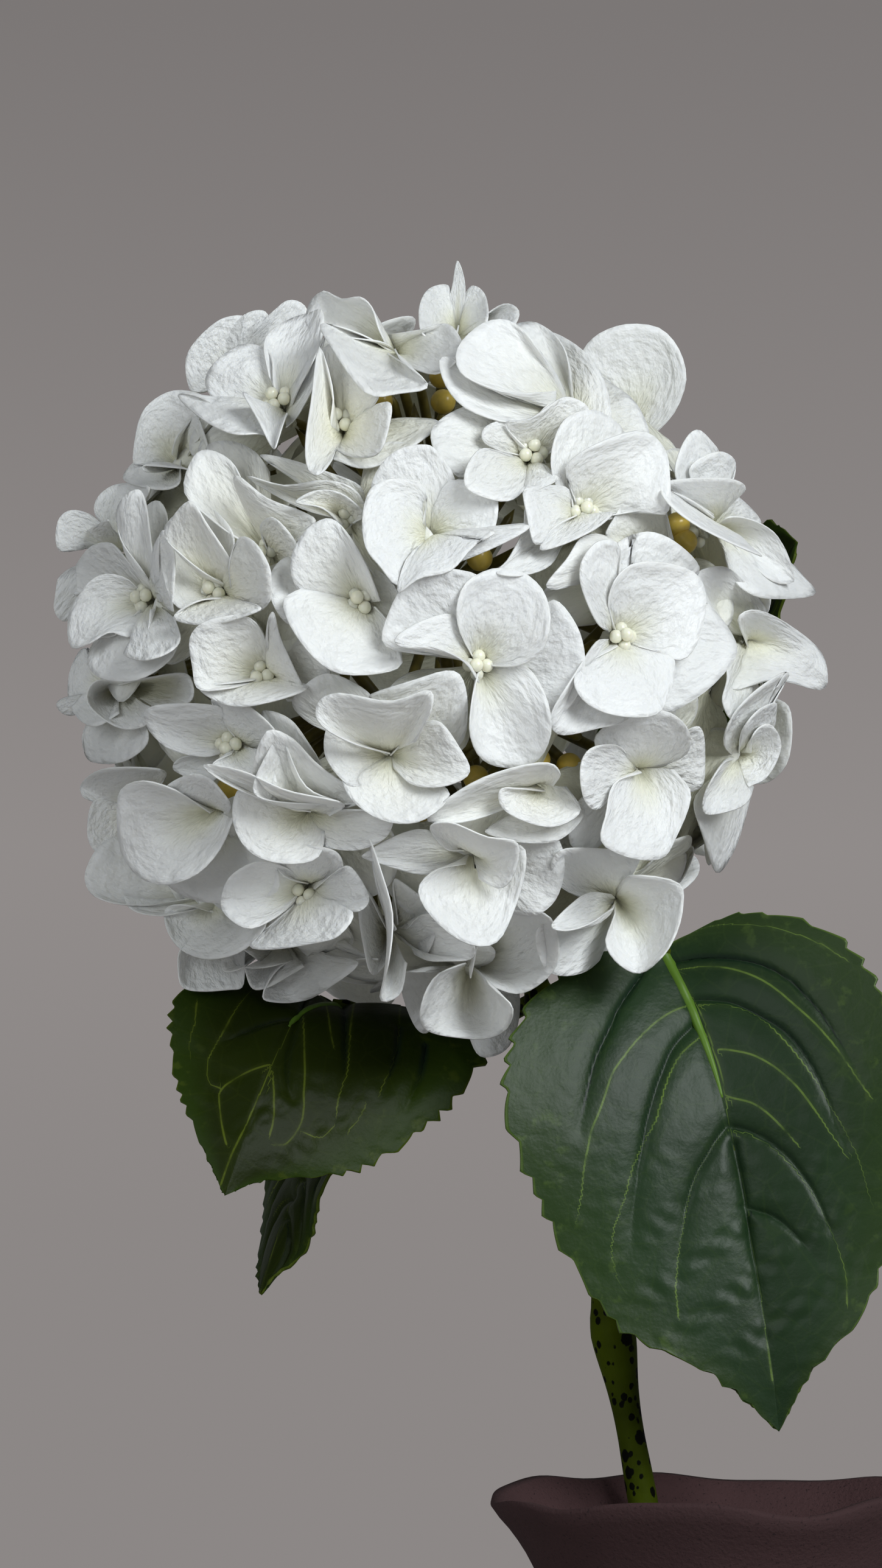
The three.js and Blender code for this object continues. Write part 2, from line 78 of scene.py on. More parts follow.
# Florets that face the viewer. Each has the column and row of its cap of beads, and its petals
# as outlines from one side of the base round the tip to the other: column, row, and the height
# in millimetres above the sphere that the caps of beads lie on.
FACING = {
    "top_left": ((466, 672), (
        ((447, 620, 8), (440, 560, 14), (470, 520, 16), (515, 515, 14), (534, 530, 12), (515, 600, 8),
         (490, 645, 4)),
        ((452, 640, 6), (442, 580, 12), (400, 566, 16), (365, 595, 16), (345, 640, 12), (380, 680, 8),
         (440, 690, 6)),
        ((430, 690, 6), (390, 695, 10), (340, 665, 14), (297, 654, 18), (340, 690, 20), (395, 720, 18),
         (440, 722, 12)),
        ((435, 680, 8), (408, 658, 16), (425, 690, 18), (440, 722, 18), (453, 733, 18), (468, 712, 14),
         (474, 685, 8)),
        ((485, 665, 4), (505, 620, 12), (528, 560, 14), (533, 575, 12), (522, 630, 10), (495, 670, 6),
         (472, 700, 5)),
    )),
    "top_inner": ((563, 708), (
        ((545, 690, 4), (546, 640, 8), (530, 590, 12), (537, 567, 14), (555, 562, 14), (580, 600, 12),
         (605, 635, 14), (621, 651, 15), (603, 675, 10), (590, 700, 5)),
        ((590, 690, 5), (610, 672, 12), (641, 667, 16), (638, 705, 16), (622, 742, 14), (585, 745, 10),
         (548, 735, 5)),
        ((610, 700, 0), (660, 682, 4), (700, 687, 4), (719, 706, 4), (660, 745, 6), (600, 762, 8),
         (552, 752, 8)),
        ((550, 725, 4), (540, 690, 10), (546, 645, 14), (527, 580, 16), (515, 660, 18), (503, 725, 20),
         (506, 765, 20), (525, 775, 20), (545, 757, 16), (552, 738, 8)),
    )),
    "crown": ((650, 575), (
        ((640, 565, 4), (620, 555, 10), (560, 548, 12), (508, 535, 12), (512, 500, 16), (534, 484, 18),
         (560, 497, 16), (590, 489, 18), (608, 500, 16), (618, 530, 12), (630, 560, 6)),
        ((640, 562, 2), (690, 550, 8), (735, 535, 12), (758, 570, 14), (755, 597, 14), (715, 612, 12),
         (640, 580, 6)),
        ((640, 572, 4), (600, 560, 10), (533, 546, 14), (552, 580, 16), (600, 632, 18), (650, 632, 18),
         (700, 630, 16), (660, 600, 12), (648, 580, 6)),
    )),
    "upper_inner": ((573, 856), (
        ((560, 850, 4), (500, 835, 8), (440, 805, 12), (413, 785, 14), (470, 800, 14), (530, 790, 14),
         (575, 800, 12), (595, 830, 8), (590, 855, 4)),
        ((570, 850, 0), (510, 800, 4), (432, 752, 8), (480, 755, 8), (540, 775, 8), (590, 800, 6),
         (598, 830, 2)),
        ((560, 862, 8), (530, 835, 14), (488, 826, 18), (515, 806, 18), (550, 805, 16), (580, 825, 14),
         (597, 848, 10), (580, 860, 6)),
        ((575, 870, 2), (600, 850, 6), (612, 900, 4), (656, 968, 4), (620, 950, 2), (585, 900, 2)),
    )),
    "upper_mid_left": ((446, 915), (
        ((430, 900, 2), (395, 885, 10), (345, 850, 14), (305, 810, 18), (320, 765, 18), (345, 746, 16),
         (380, 760, 14), (400, 800, 12), (420, 850, 8), (435, 890, 4)),
        ((440, 895, 4), (410, 850, 10), (388, 800, 16), (396, 786, 18), (440, 820, 16), (490, 838, 14),
         (512, 855, 12), (490, 885, 8), (465, 910, 4)),
        ((440, 905, 6), (425, 865, 12), (448, 853, 14), (472, 872, 14), (487, 905, 12), (468, 930, 6)),
        ((430, 880, -4), (380, 800, 2), (345, 740, 6), (380, 726, 8), (415, 742, 8), (440, 775, 4)),
    )),
    "left_inner": ((364, 975), (
        ((375, 960, 4), (340, 940, 10), (300, 910, 16), (270, 880, 20), (290, 845, 22), (320, 828, 22),
         (345, 865, 18), (375, 915, 12), (395, 955, 6)),
        ((385, 965, 6), (378, 925, 12), (390, 886, 16), (415, 892, 18), (442, 930, 18), (449, 960, 16),
         (443, 990, 14), (410, 1005, 10), (380, 985, 5)),
        ((375, 950, 2), (345, 880, 6), (323, 830, 10), (350, 838, 12), (378, 868, 12), (386, 895, 10),
         (380, 935, 4)),
        ((370, 985, 6), (330, 990, 12), (290, 1015, 16), (330, 1025, 18), (385, 1015, 18), (430, 1000, 16),
         (400, 990, 8)),
        ((355, 970, 2), (310, 930, 6), (278, 890, 10), (270, 930, 12), (285, 990, 12), (320, 1000, 10),
         (350, 990, 4)),
    )),
    "middle_left": ((597, 990), (
        ((575, 985, 2), (520, 985, 8), (488, 960, 14), (482, 915, 18), (505, 870, 20), (540, 853, 20),
         (570, 880, 18), (600, 930, 14), (622, 985, 8)),
        ((585, 990, 2), (540, 965, 8), (500, 968, 14), (470, 988, 18), (483, 1030, 20), (520, 1080, 20),
         (560, 1104, 20), (620, 1102, 18), (655, 1085, 14), (640, 1030, 8), (615, 1000, 4)),
        ((570, 985, -4), (500, 930, 4), (470, 920, 8), (446, 955, 12), (455, 1000, 14), (480, 1025, 12),
         (520, 1010, 4)),
        ((605, 985, 0), (615, 940, 2), (640, 955, 4), (656, 985, 4), (652, 1050, 2), (630, 1020, 0)),
    )),
    "left": ((252, 988), (
        ((240, 985, 2), (215, 955, 8), (175, 948, 14), (140, 968, 18), (113, 1010, 20), (117, 1060, 20),
         (150, 1055, 18), (185, 1038, 14), (220, 1045, 10), (243, 1005, 4)),
        ((240, 978, 2), (220, 930, 8), (185, 895, 12), (140, 900, 14), (119, 935, 14), (125, 975, 12),
         (170, 960, 10)),
        ((248, 965, 4), (225, 930, 10), (200, 890, 14), (196, 850, 16), (207, 822, 18), (225, 807, 18),
         (233, 825, 16), (242, 880, 12), (258, 955, 6)),
        ((248, 1000, 2), (200, 1045, 10), (158, 1050, 14), (147, 1085, 16), (175, 1113, 16),
         (230, 1117, 16), (275, 1090, 12), (290, 1055, 10), (280, 1015, 4)),
        ((255, 1005, 8), (235, 1045, 14), (207, 1072, 18), (245, 1086, 20), (275, 1080, 20),
         (291, 1055, 18), (283, 1020, 12)),
        ((258, 985, 8), (262, 930, 12), (268, 875, 16), (280, 905, 16), (280, 960, 14), (290, 1003, 10)),
    )),
    "crown_left": ((372, 610), (
        ((360, 620, 2), (320, 645, 8), (309, 590, 10), (328, 545, 10), (360, 524, 10), (402, 528, 8),
         (375, 565, 6)),
        ((390, 600, 0), (395, 560, 6), (425, 525, 10), (470, 505, 10), (505, 515, 8), (470, 560, 4)),
        ((380, 600, -4), (372, 560, 0), (400, 525, 2), (440, 520, 2), (430, 560, -2)),
    )),
    "shoulder_left": ((268, 745), (
        ((270, 750, 0), (222, 760, 8), (219, 715, 10), (240, 672, 10), (290, 648, 10), (340, 660, 6),
         (310, 700, 2)),
        ((290, 750, 2), (296, 710, 6), (315, 686, 6), (335, 700, 4), (342, 740, 2), (320, 765, 0)),
        ((270, 750, 0), (232, 745, 6), (212, 790, 8), (245, 800, 8), (290, 790, 6), (300, 760, 2)),
        ((290, 755, 0), (245, 775, 10), (250, 768, 10), (300, 765, 8), (305, 790, 2)),
    )),
    "far_left": ((165, 890), (
        ((165, 900, 0), (140, 890, 6), (102, 905, 8), (104, 860, 8), (120, 840, 8), (150, 848, 6),
         (170, 870, 2)),
        ((150, 930, -2), (110, 950, 4), (88, 950, 6), (87, 990, 6), (108, 1020, 6), (125, 1000, 2)),
        ((175, 900, 4), (120, 895, 12), (140, 870, 14), (175, 855, 14), (190, 875, 8)),
        ((200, 880, 0), (165, 850, 6), (172, 815, 10), (200, 796, 10), (245, 803, 8), (235, 850, 2)),
    )),
    "peak": ((752, 530), (
        ((745, 520, 2), (735, 500, 8), (743, 470, 12), (751, 427, 18), (762, 460, 14), (764, 490, 10),
         (758, 515, 4)),
        ((740, 530, 2), (700, 545, 8), (690, 510, 10), (705, 484, 12), (735, 475, 12), (748, 500, 6)),
        ((757, 530, 2), (760, 490, 8), (775, 474, 12), (797, 488, 12), (800, 520, 10), (780, 540, 4)),
        ((755, 540, 4), (745, 575, 10), (770, 590, 12), (820, 560, 12), (850, 525, 12), (825, 508, 12),
         (785, 520, 8)),
    )),
    "upper_right_inner": ((868, 756), (
        ((845, 745, 0), (820, 690, 4), (785, 667, 8), (740, 678, 10), (713, 705, 10), (720, 745, 10),
         (745, 777, 8), (770, 785, 6), (800, 765, 2)),
        ((860, 745, 4), (800, 730, 8), (797, 705, 10), (830, 690, 10), (868, 690, 8), (885, 720, 4)),
        ((855, 755, 4), (825, 745, 10), (792, 741, 14), (768, 770, 16), (766, 800, 16), (800, 812, 16),
         (840, 817, 14), (862, 800, 10), (872, 775, 5)),
        ((870, 745, 4), (830, 700, 10), (870, 690, 14), (905, 665, 18), (930, 655, 18), (962, 680, 16),
         (930, 720, 8), (890, 750, 4)),
        ((875, 765, 4), (905, 772, 10), (915, 790, 10), (885, 803, 14), (862, 808, 14), (872, 785, 8)),
    )),
    "upper_right": ((948, 846), (
        ((935, 835, 2), (910, 795, 8), (904, 750, 12), (922, 700, 16), (955, 678, 18), (990, 682, 16),
         (1022, 718, 12), (975, 760, 8), (950, 820, 4)),
        ((955, 835, 4), (940, 790, 10), (935, 765, 14), (975, 738, 18), (1045, 716, 20), (1085, 737, 20),
         (1098, 775, 20), (1094, 840, 16), (1050, 840, 10), (990, 850, 5)),
        ((940, 845, 4), (935, 800, 10), (895, 797, 14), (861, 808, 16), (865, 850, 16), (880, 890, 16),
         (905, 880, 10), (930, 860, 5)),
        ((945, 850, 6), (910, 868, 12), (893, 897, 14), (930, 890, 16), (975, 870, 16), (1003, 845, 14),
         (970, 850, 8)),
        ((935, 850, 0), (870, 830, 8), (862, 870, 12), (835, 920, 12), (812, 945, 12), (850, 950, 12),
         (900, 930, 8), (925, 890, 4)),
    )),
    "right_shoulder": ((1171, 864), (
        ((1150, 845, 0), (1125, 810, 6), (1112, 775, 10), (1125, 730, 14), (1145, 709, 16), (1165, 735, 14),
         (1172, 760, 10), (1160, 820, 4)),
        ((1160, 845, 2), (1145, 800, 8), (1140, 765, 12), (1170, 749, 14), (1200, 765, 14), (1203, 795, 12),
         (1185, 830, 5)),
        ((1160, 850, 4), (1120, 815, 10), (1098, 793, 16), (1145, 787, 18), (1190, 792, 18),
         (1212, 808, 16), (1190, 830, 8)),
        ((1165, 855, 6), (1130, 820, 12), (1098, 803, 18), (1110, 830, 20), (1150, 868, 22),
         (1200, 900, 22), (1243, 914, 22), (1235, 895, 18), (1195, 875, 10)),
        ((1180, 865, 4), (1205, 850, 10), (1245, 855, 14), (1280, 880, 16), (1300, 925, 16),
         (1298, 955, 14), (1260, 950, 10), (1215, 900, 6)),
        ((1190, 880, 0), (1205, 925, 6), (1230, 960, 10), (1265, 980, 12), (1327, 979, 14), (1318, 950, 12),
         (1298, 915, 10), (1240, 890, 4)),
        ((1185, 850, 0), (1200, 800, 8), (1225, 820, 8), (1247, 858, 6), (1215, 860, 2)),
    )),
    "upper_middle": ((705, 880), (
        ((690, 850, 0), (640, 830, 6), (613, 805, 12), (628, 765, 16), (655, 740, 18), (690, 732, 18),
         (715, 742, 16), (745, 792, 10), (720, 830, 4)),
        ((690, 870, 4), (698, 810, 10), (660, 792, 16), (615, 800, 20), (598, 840, 22), (602, 895, 22),
         (625, 930, 20), (655, 960, 16), (680, 910, 8)),
        ((710, 870, 0), (702, 825, 6), (725, 797, 10), (760, 792, 12), (812, 812, 12), (806, 872, 10),
         (760, 872, 4)),
        ((705, 890, 1), (672, 915, 14), (656, 968, 20), (690, 945, 22), (740, 935, 20), (775, 900, 18),
         (810, 877, 18), (770, 868, 12), (730, 875, 1)),
        ((715, 890, 2), (750, 905, 8), (745, 925, 12), (800, 905, 16), (858, 874, 18), (862, 858, 16),
         (800, 880, 8)),
    )),
    "middle": ((782, 1092), (
        ((785, 1085, 4), (760, 1040, 11), (753, 1000, 14), (768, 960, 15), (810, 938, 15), (855, 942, 15),
         (888, 970, 16), (900, 1015, 18), (888, 1065, 16), (850, 1090, 12), (810, 1090, 6)),
        ((775, 1080, 4), (750, 1015, 12), (700, 1020, 18), (656, 1045, 22), (660, 1062, 22),
         (710, 1062, 20), (760, 1085, 14), (785, 1120, 8)),
        ((765, 1070, 0), (690, 1070, 8), (633, 1055, 14), (645, 1000, 16), (672, 958, 18), (715, 939, 18),
         (755, 940, 16), (785, 955, 12), (765, 1010, 6)),
        ((790, 1100, 4), (778, 1150, 13), (775, 1205, 15), (795, 1245, 12), (835, 1258, 10),
         (880, 1248, 12), (902, 1205, 15), (895, 1150, 14), (865, 1100, 8), (820, 1090, 4)),
        ((800, 1100, 0), (860, 1040, 6), (905, 990, 12), (940, 1020, 14), (957, 1070, 14), (950, 1130, 12),
         (910, 1170, 10), (860, 1130, 4)),
    )),
    "middle_right": ((1010, 1048), (
        ((1015, 1035, 4), (1000, 990, 10), (1012, 950, 13), (1045, 928, 14), (1100, 930, 14),
         (1143, 948, 14), (1157, 990, 15), (1145, 1045, 14), (1115, 1080, 12), (1060, 1070, 6)),
        ((1010, 1065, 4), (965, 1090, 10), (946, 1115, 16), (965, 1150, 20), (1010, 1172, 22),
         (1070, 1173, 22), (1092, 1140, 18), (1100, 1085, 12), (1050, 1065, 6)),
        ((1000, 1030, 4), (975, 1020, 10), (956, 970, 14), (960, 925, 18), (985, 892, 18), (1015, 900, 16),
         (1010, 960, 10)),
        ((1000, 1055, 4), (975, 1060, 10), (940, 1110, 14), (910, 1170, 16), (925, 1203, 16),
         (975, 1195, 16), (1025, 1175, 14), (960, 1120, 8)),
        ((1030, 1055, 0), (1110, 1040, 6), (1155, 995, 10), (1185, 1015, 12), (1203, 1055, 12),
         (1193, 1090, 12), (1150, 1140, 12), (1095, 1165, 10), (1070, 1100, 4)),
        ((1010, 1030, 0), (1000, 950, 6), (1010, 900, 10), (1060, 877, 12), (1110, 900, 12),
         (1145, 940, 10), (1100, 980, 4)),
    )),
    "right_inner": ((1095, 935), (
        ((1080, 930, -6), (1000, 890, 2), (1010, 850, 6), (1035, 818, 10), (1065, 810, 10), (1090, 825, 10),
         (1102, 870, 8), (1110, 905, 4)),
        ((1070, 920, -4), (1000, 882, 6), (955, 885, 12), (930, 920, 14), (900, 960, 14), (935, 960, 12),
         (985, 905, 10), (1050, 890, 8)),
        ((1050, 985, -8), (1010, 930, -2), (965, 925, 2), (905, 965, 4), (888, 1005, 4), (930, 1025, 2),
         (985, 1020, -2)),
    )),
    "lower_right": ((1050, 1265), (
        ((1045, 1260, 0), (1000, 1250, 6), (985, 1215, 10), (1030, 1180, 14), (1085, 1168, 16),
         (1120, 1195, 16), (1125, 1235, 12), (1090, 1260, 5)),
        ((1050, 1270, 6), (1015, 1290, 12), (1000, 1335, 18), (985, 1378, 20), (1035, 1404, 22),
         (1090, 1406, 22), (1112, 1370, 20), (1127, 1305, 16), (1100, 1265, 8)),
        ((1045, 1265, 2), (1010, 1225, 8), (975, 1228, 14), (957, 1260, 16), (957, 1305, 16),
         (975, 1325, 14), (1010, 1300, 8)),
        ((1070, 1265, -2), (1110, 1210, 4), (1145, 1195, 8), (1160, 1235, 8), (1155, 1285, 8),
         (1120, 1300, 4)),
        ((1030, 1290, -4), (985, 1300, 4), (955, 1325, 8), (940, 1385, 8), (975, 1395, 8), (1005, 1360, 4)),
    )),
    "right": ((1235, 1050), (
        ((1225, 1040, -2), (1190, 1030, 4), (1155, 985, 6), (1143, 945, 8), (1195, 933, 10),
         (1230, 955, 10), (1250, 995, 6), (1240, 1025, 2)),
        ((1225, 1065, 0), (1212, 1020, 6), (1250, 1005, 10), (1300, 1025, 12), (1342, 1065, 14),
         (1348, 1105, 14), (1335, 1132, 12), (1275, 1115, 8), (1215, 1130, 6), (1205, 1090, 2)),
        ((1225, 1075, -4), (1205, 1060, 2), (1200, 1110, 6), (1185, 1150, 8), (1205, 1180, 8),
         (1240, 1150, 6), (1245, 1100, 0)),
    )),
    "right_low": ((1215, 1240), (
        ((1215, 1245, 0), (1195, 1220, 6), (1210, 1170, 10), (1245, 1125, 12), (1278, 1104, 12),
         (1290, 1118, 12), (1272, 1165, 10), (1240, 1215, 4)),
        ((1220, 1240, 2), (1220, 1200, 8), (1245, 1165, 10), (1278, 1158, 10), (1280, 1185, 10),
         (1255, 1215, 6)),
        ((1225, 1250, 0), (1235, 1215, 6), (1262, 1192, 8), (1275, 1225, 10), (1258, 1275, 10),
         (1230, 1290, 8)),
        ((1210, 1250, 2), (1175, 1255, 8), (1157, 1300, 10), (1160, 1335, 10), (1200, 1325, 10),
         (1228, 1295, 8)),
        ((1205, 1265, -2), (1150, 1310, 4), (1150, 1365, 6), (1170, 1427, 8), (1200, 1400, 8),
         (1222, 1350, 8), (1235, 1295, 6)),
    )),
    "low_right": ((1015, 1480), (
        ((1020, 1470, 4), (1045, 1450, 12), (1112, 1455, 16), (1115, 1480, 18), (1103, 1530, 20),
         (1085, 1575, 22), (1058, 1605, 22), (1025, 1590, 18), (1000, 1550, 12), (1010, 1500, 6)),
        ((1010, 1480, 4), (960, 1480, 10), (905, 1512, 16), (930, 1522, 18), (975, 1518, 16),
         (1010, 1500, 8)),
        ((1000, 1490, -2), (930, 1510, 6), (890, 1540, 8), (900, 1590, 10), (960, 1590, 10),
         (1010, 1560, 6)),
        ((1005, 1475, 0), (940, 1470, 8), (915, 1440, 12), (925, 1400, 12), (985, 1395, 12),
         (1050, 1408, 12), (1030, 1450, 6)),
    )),
    "low_middle": ((777, 1400), (
        ((765, 1400, 8), (735, 1395, 14), (708, 1355, 18), (740, 1345, 20), (800, 1375, 22),
         (848, 1390, 22), (843, 1430, 22), (820, 1450, 20), (785, 1435, 12)),
        ((765, 1415, 6), (720, 1430, 12), (692, 1465, 18), (712, 1505, 20), (760, 1538, 22),
         (810, 1540, 22), (838, 1500, 20), (858, 1440, 18), (855, 1395, 14), (800, 1400, 8)),
        ((755, 1405, 0), (700, 1370, 6), (640, 1378, 10), (598, 1405, 12), (630, 1425, 14), (690, 1435, 10),
         (740, 1420, 4)),
        ((785, 1410, -2), (850, 1375, 6), (900, 1372, 10), (925, 1410, 12), (915, 1465, 12),
         (880, 1498, 12), (830, 1500, 8)),
    )),
    "lower_inner": ((880, 1290), (
        ((885, 1300, 4), (840, 1320, 8), (770, 1345, 12), (706, 1345, 14), (745, 1308, 16), (810, 1275, 16),
         (890, 1254, 16), (913, 1268, 14), (905, 1290, 8)),
        ((895, 1300, 6), (850, 1295, 12), (826, 1300, 14), (830, 1330, 16), (865, 1350, 18),
         (910, 1355, 16), (950, 1330, 14), (930, 1295, 8)),
        ((890, 1310, 2), (840, 1350, 8), (800, 1365, 10), (860, 1380, 12), (920, 1375, 12), (958, 1335, 10),
         (930, 1310, 4)),
    )),
    "mid_left": ((440, 1108), (
        ((435, 1100, 4), (432, 1050, 10), (405, 1015, 14), (345, 1022, 18), (314, 1050, 20),
         (316, 1095, 20), (330, 1130, 18), (380, 1128, 14), (420, 1118, 6)),
        ((440, 1115, 4), (390, 1122, 12), (328, 1130, 18), (355, 1152, 18), (400, 1160, 18),
         (460, 1148, 16), (500, 1130, 12), (470, 1115, 6)),
        ((452, 1105, 6), (440, 1060, 12), (443, 1020, 16), (453, 1010, 16), (462, 1050, 14),
         (480, 1095, 12), (492, 1125, 10), (465, 1120, 6)),
        ((450, 1110, 0), (475, 1070, 4), (505, 1050, 6), (540, 1105, 6), (515, 1145, 6), (475, 1150, 4)),
    )),
    "left_low": ((390, 1222), (
        ((385, 1215, 2), (370, 1170, 8), (320, 1157, 12), (250, 1163, 14), (244, 1195, 14), (275, 1230, 14),
         (330, 1243, 10), (372, 1232, 4)),
        ((395, 1212, 2), (360, 1170, 8), (350, 1150, 10), (400, 1152, 12), (445, 1185, 12), (460, 1222, 10),
         (425, 1230, 4)),
        ((400, 1232, 4), (440, 1240, 10), (450, 1290, 14), (400, 1290, 16), (354, 1258, 16), (380, 1240, 8)),
        ((385, 1230, 0), (345, 1238, 6), (300, 1245, 8), (290, 1265, 8), (340, 1285, 8), (375, 1260, 4)),
    )),
    "crown_right": ((925, 655), (
        ((920, 645, 4), (880, 650, 10), (830, 648, 14), (790, 630, 17), (762, 608, 19), (755, 575, 20),
         (775, 550, 20), (805, 538, 20), (840, 545, 19), (875, 575, 17), (905, 600, 13), (927, 630, 7)),
        ((905, 640, 0), (860, 600, 6), (832, 560, 10), (845, 532, 13), (878, 524, 14), (905, 542, 14),
         (925, 575, 13), (932, 610, 10), (932, 640, 4)),
        ((925, 645, -2), (905, 600, 4), (893, 560, 8), (905, 546, 9), (940, 568, 10), (970, 600, 10),
         (992, 635, 9), (1003, 670, 8), (1000, 692, 6), (965, 680, 2)),
        ((940, 665, -4), (960, 620, 2), (985, 612, 5), (1020, 640, 6), (1047, 675, 6), (1062, 716, 5),
         (1030, 718, 2)),
        ((925, 668, 2), (895, 668, 6), (870, 688, 9), (825, 684, 12), (770, 662, 14), (738, 632, 15),
         (724, 600, 15), (742, 600, 14), (785, 632, 12), (840, 652, 9), (900, 655, 4)),
    )),
    "far_left_low": ((352, 1332), (
        ((345, 1335, 6), (290, 1300, 14), (235, 1288, 18), (195, 1305, 20), (188, 1345, 22),
         (200, 1400, 22), (235, 1436, 22), (280, 1446, 22), (325, 1430, 20), (355, 1395, 16),
         (372, 1350, 10)),
        ((350, 1325, 6), (300, 1295, 10), (280, 1290, 12), (310, 1276, 14), (350, 1283, 14),
         (380, 1315, 12), (372, 1335, 8)),
        ((345, 1350, 0), (300, 1400, 8), (262, 1420, 12), (290, 1462, 14), (340, 1483, 14), (400, 1480, 13),
         (450, 1462, 10), (440, 1400, 8), (390, 1350, 2)),
    )),
    "far_left_rim": ((215, 1335), (
        ((250, 1300, 0), (270, 1270, 6), (232, 1260, 10), (175, 1262, 12), (141, 1285, 13), (138, 1310, 12),
         (160, 1322, 8), (200, 1320, 2)),
        ((215, 1320, -4), (190, 1310, 4), (150, 1322, 8), (148, 1365, 9), (170, 1400, 9), (205, 1422, 7),
         (225, 1380, 0)),
    )),
    "low_left": ((508, 1455), (
        ((495, 1458, 2), (470, 1425, 8), (430, 1410, 12), (385, 1435, 16), (366, 1475, 18), (372, 1500, 18),
         (410, 1520, 18), (455, 1500, 12), (485, 1475, 5)),
        ((508, 1468, 2), (470, 1500, 8), (417, 1545, 14), (450, 1558, 16), (505, 1556, 18), (550, 1540, 18),
         (580, 1495, 14), (540, 1475, 6)),
        ((508, 1448, 2), (465, 1430, 8), (455, 1405, 10), (500, 1393, 12), (550, 1398, 12), (562, 1425, 10),
         (540, 1450, 5)),
        ((520, 1460, 4), (555, 1430, 10), (575, 1430, 12), (600, 1480, 14), (588, 1495, 14), (550, 1480, 8)),
    )),
    "low_inner_left": ((505, 1335), (
        ((500, 1330, 2), (450, 1300, 8), (395, 1300, 12), (385, 1350, 16), (410, 1395, 18), (460, 1412, 18),
         (520, 1405, 14), (530, 1360, 6)),
        ((510, 1335, 2), (560, 1330, 8), (640, 1330, 12), (635, 1370, 14), (590, 1395, 14), (540, 1390, 10),
         (510, 1370, 5)),
        ((520, 1320, 4), (480, 1300, 8), (430, 1275, 12), (425, 1250, 14), (445, 1200, 16), (480, 1215, 14),
         (520, 1260, 12), (590, 1310, 10), (560, 1325, 6)),
        ((605, 1320, 4), (535, 1322, 12), (455, 1312, 15), (424, 1290, 16), (443, 1238, 16),
         (462, 1218, 15), (500, 1288, 12), (560, 1312, 8)),
        ((510, 1330, 6), (450, 1315, 12), (380, 1285, 16), (340, 1258, 18), (400, 1270, 18),
         (470, 1300, 18), (560, 1318, 14), (540, 1335, 8)),
        ((520, 1310, 0), (470, 1260, 6), (440, 1200, 8), (437, 1168, 8), (480, 1180, 8), (510, 1230, 6),
         (540, 1290, 2)),
    )),
    "below_middle": ((640, 1240), (
        ((640, 1235, 8), (580, 1215, 14), (530, 1185, 18), (527, 1155, 20), (560, 1143, 22),
         (640, 1155, 24), (700, 1135, 24), (705, 1165, 24), (680, 1215, 18)),
        ((635, 1240, 2), (590, 1215, 8), (545, 1190, 10), (535, 1240, 12), (570, 1285, 14), (610, 1285, 10)),
        ((570, 1205, 2), (515, 1192, 6), (483, 1162, 8), (497, 1132, 9), (540, 1108, 9), (600, 1140, 8),
         (612, 1172, 4)),
        ((645, 1240, 4), (690, 1195, 10), (720, 1190, 14), (750, 1230, 16), (768, 1270, 16),
         (730, 1288, 16), (680, 1285, 12), (650, 1260, 6)),
        ((640, 1250, 2), (590, 1262, 8), (565, 1270, 12), (580, 1310, 16), (630, 1343, 18), (690, 1344, 18),
         (735, 1305, 14), (700, 1275, 8)),
        ((650, 1220, 0), (640, 1160, 8), (610, 1145, 10), (680, 1120, 12), (745, 1105, 12), (765, 1150, 10),
         (755, 1220, 6), (700, 1230, 2)),
    )),
    "bottom_left": ((330, 1505), (
        ((360, 1500, 2), (310, 1493, 10), (270, 1500, 14), (272, 1530, 16), (298, 1558, 17),
         (345, 1569, 17), (395, 1560, 15), (425, 1530, 12), (415, 1500, 6)),
        ((320, 1490, 0), (255, 1425, 8), (212, 1420, 13), (208, 1465, 15), (222, 1493, 15), (260, 1507, 14),
         (310, 1500, 8)),
        ((290, 1480, -6), (215, 1400, 0), (170, 1388, 4), (146, 1430, 5), (150, 1470, 5), (180, 1488, 4),
         (230, 1490, 0)),
        ((330, 1545, -4), (299, 1560, 0), (298, 1600, 5), (305, 1625, 8), (335, 1634, 8), (372, 1628, 7),
         (402, 1612, 6), (400, 1565, 2)),
    )),
    "left_edge": ((190, 1130), (
        ((195, 1125, 0), (170, 1085, 8), (130, 1068, 10), (115, 1100, 12), (125, 1160, 12), (155, 1190, 12),
         (190, 1170, 8)),
        ((200, 1130, 4), (160, 1120, 10), (155, 1160, 12), (185, 1195, 12), (230, 1190, 10), (245, 1160, 6)),
        ((215, 1125, 0), (240, 1115, 6), (300, 1110, 8), (320, 1150, 8), (270, 1165, 6)),
        ((150, 1150, -4), (115, 1145, 4), (98, 1155, 6), (110, 1175, 6), (130, 1165, 2)),
        ((200, 1150, -2), (160, 1180, 6), (132, 1220, 8), (140, 1250, 10), (200, 1250, 10), (245, 1220, 8),
         (240, 1180, 4)),
    )),
    "bottom": ((765, 1610), (
        ((765, 1590, 4), (715, 1600, 12), (693, 1640, 18), (700, 1680, 20), (735, 1708, 22),
         (790, 1715, 22), (825, 1690, 20), (837, 1640, 16), (800, 1605, 8)),
        ((745, 1590, -4), (690, 1590, 4), (660, 1610, 6), (670, 1650, 8), (700, 1690, 8), (740, 1670, 2)),
        ((780, 1590, -4), (830, 1610, 4), (850, 1630, 6), (850, 1680, 8), (830, 1720, 10), (790, 1735, 10),
         (770, 1700, 4)),
        ((775, 1590, 2), (795, 1535, 6), (840, 1505, 9), (900, 1500, 10), (913, 1550, 10), (892, 1592, 11),
         (850, 1622, 12), (800, 1612, 8)),
    )),
    "bottom_inner": ((640, 1530), (
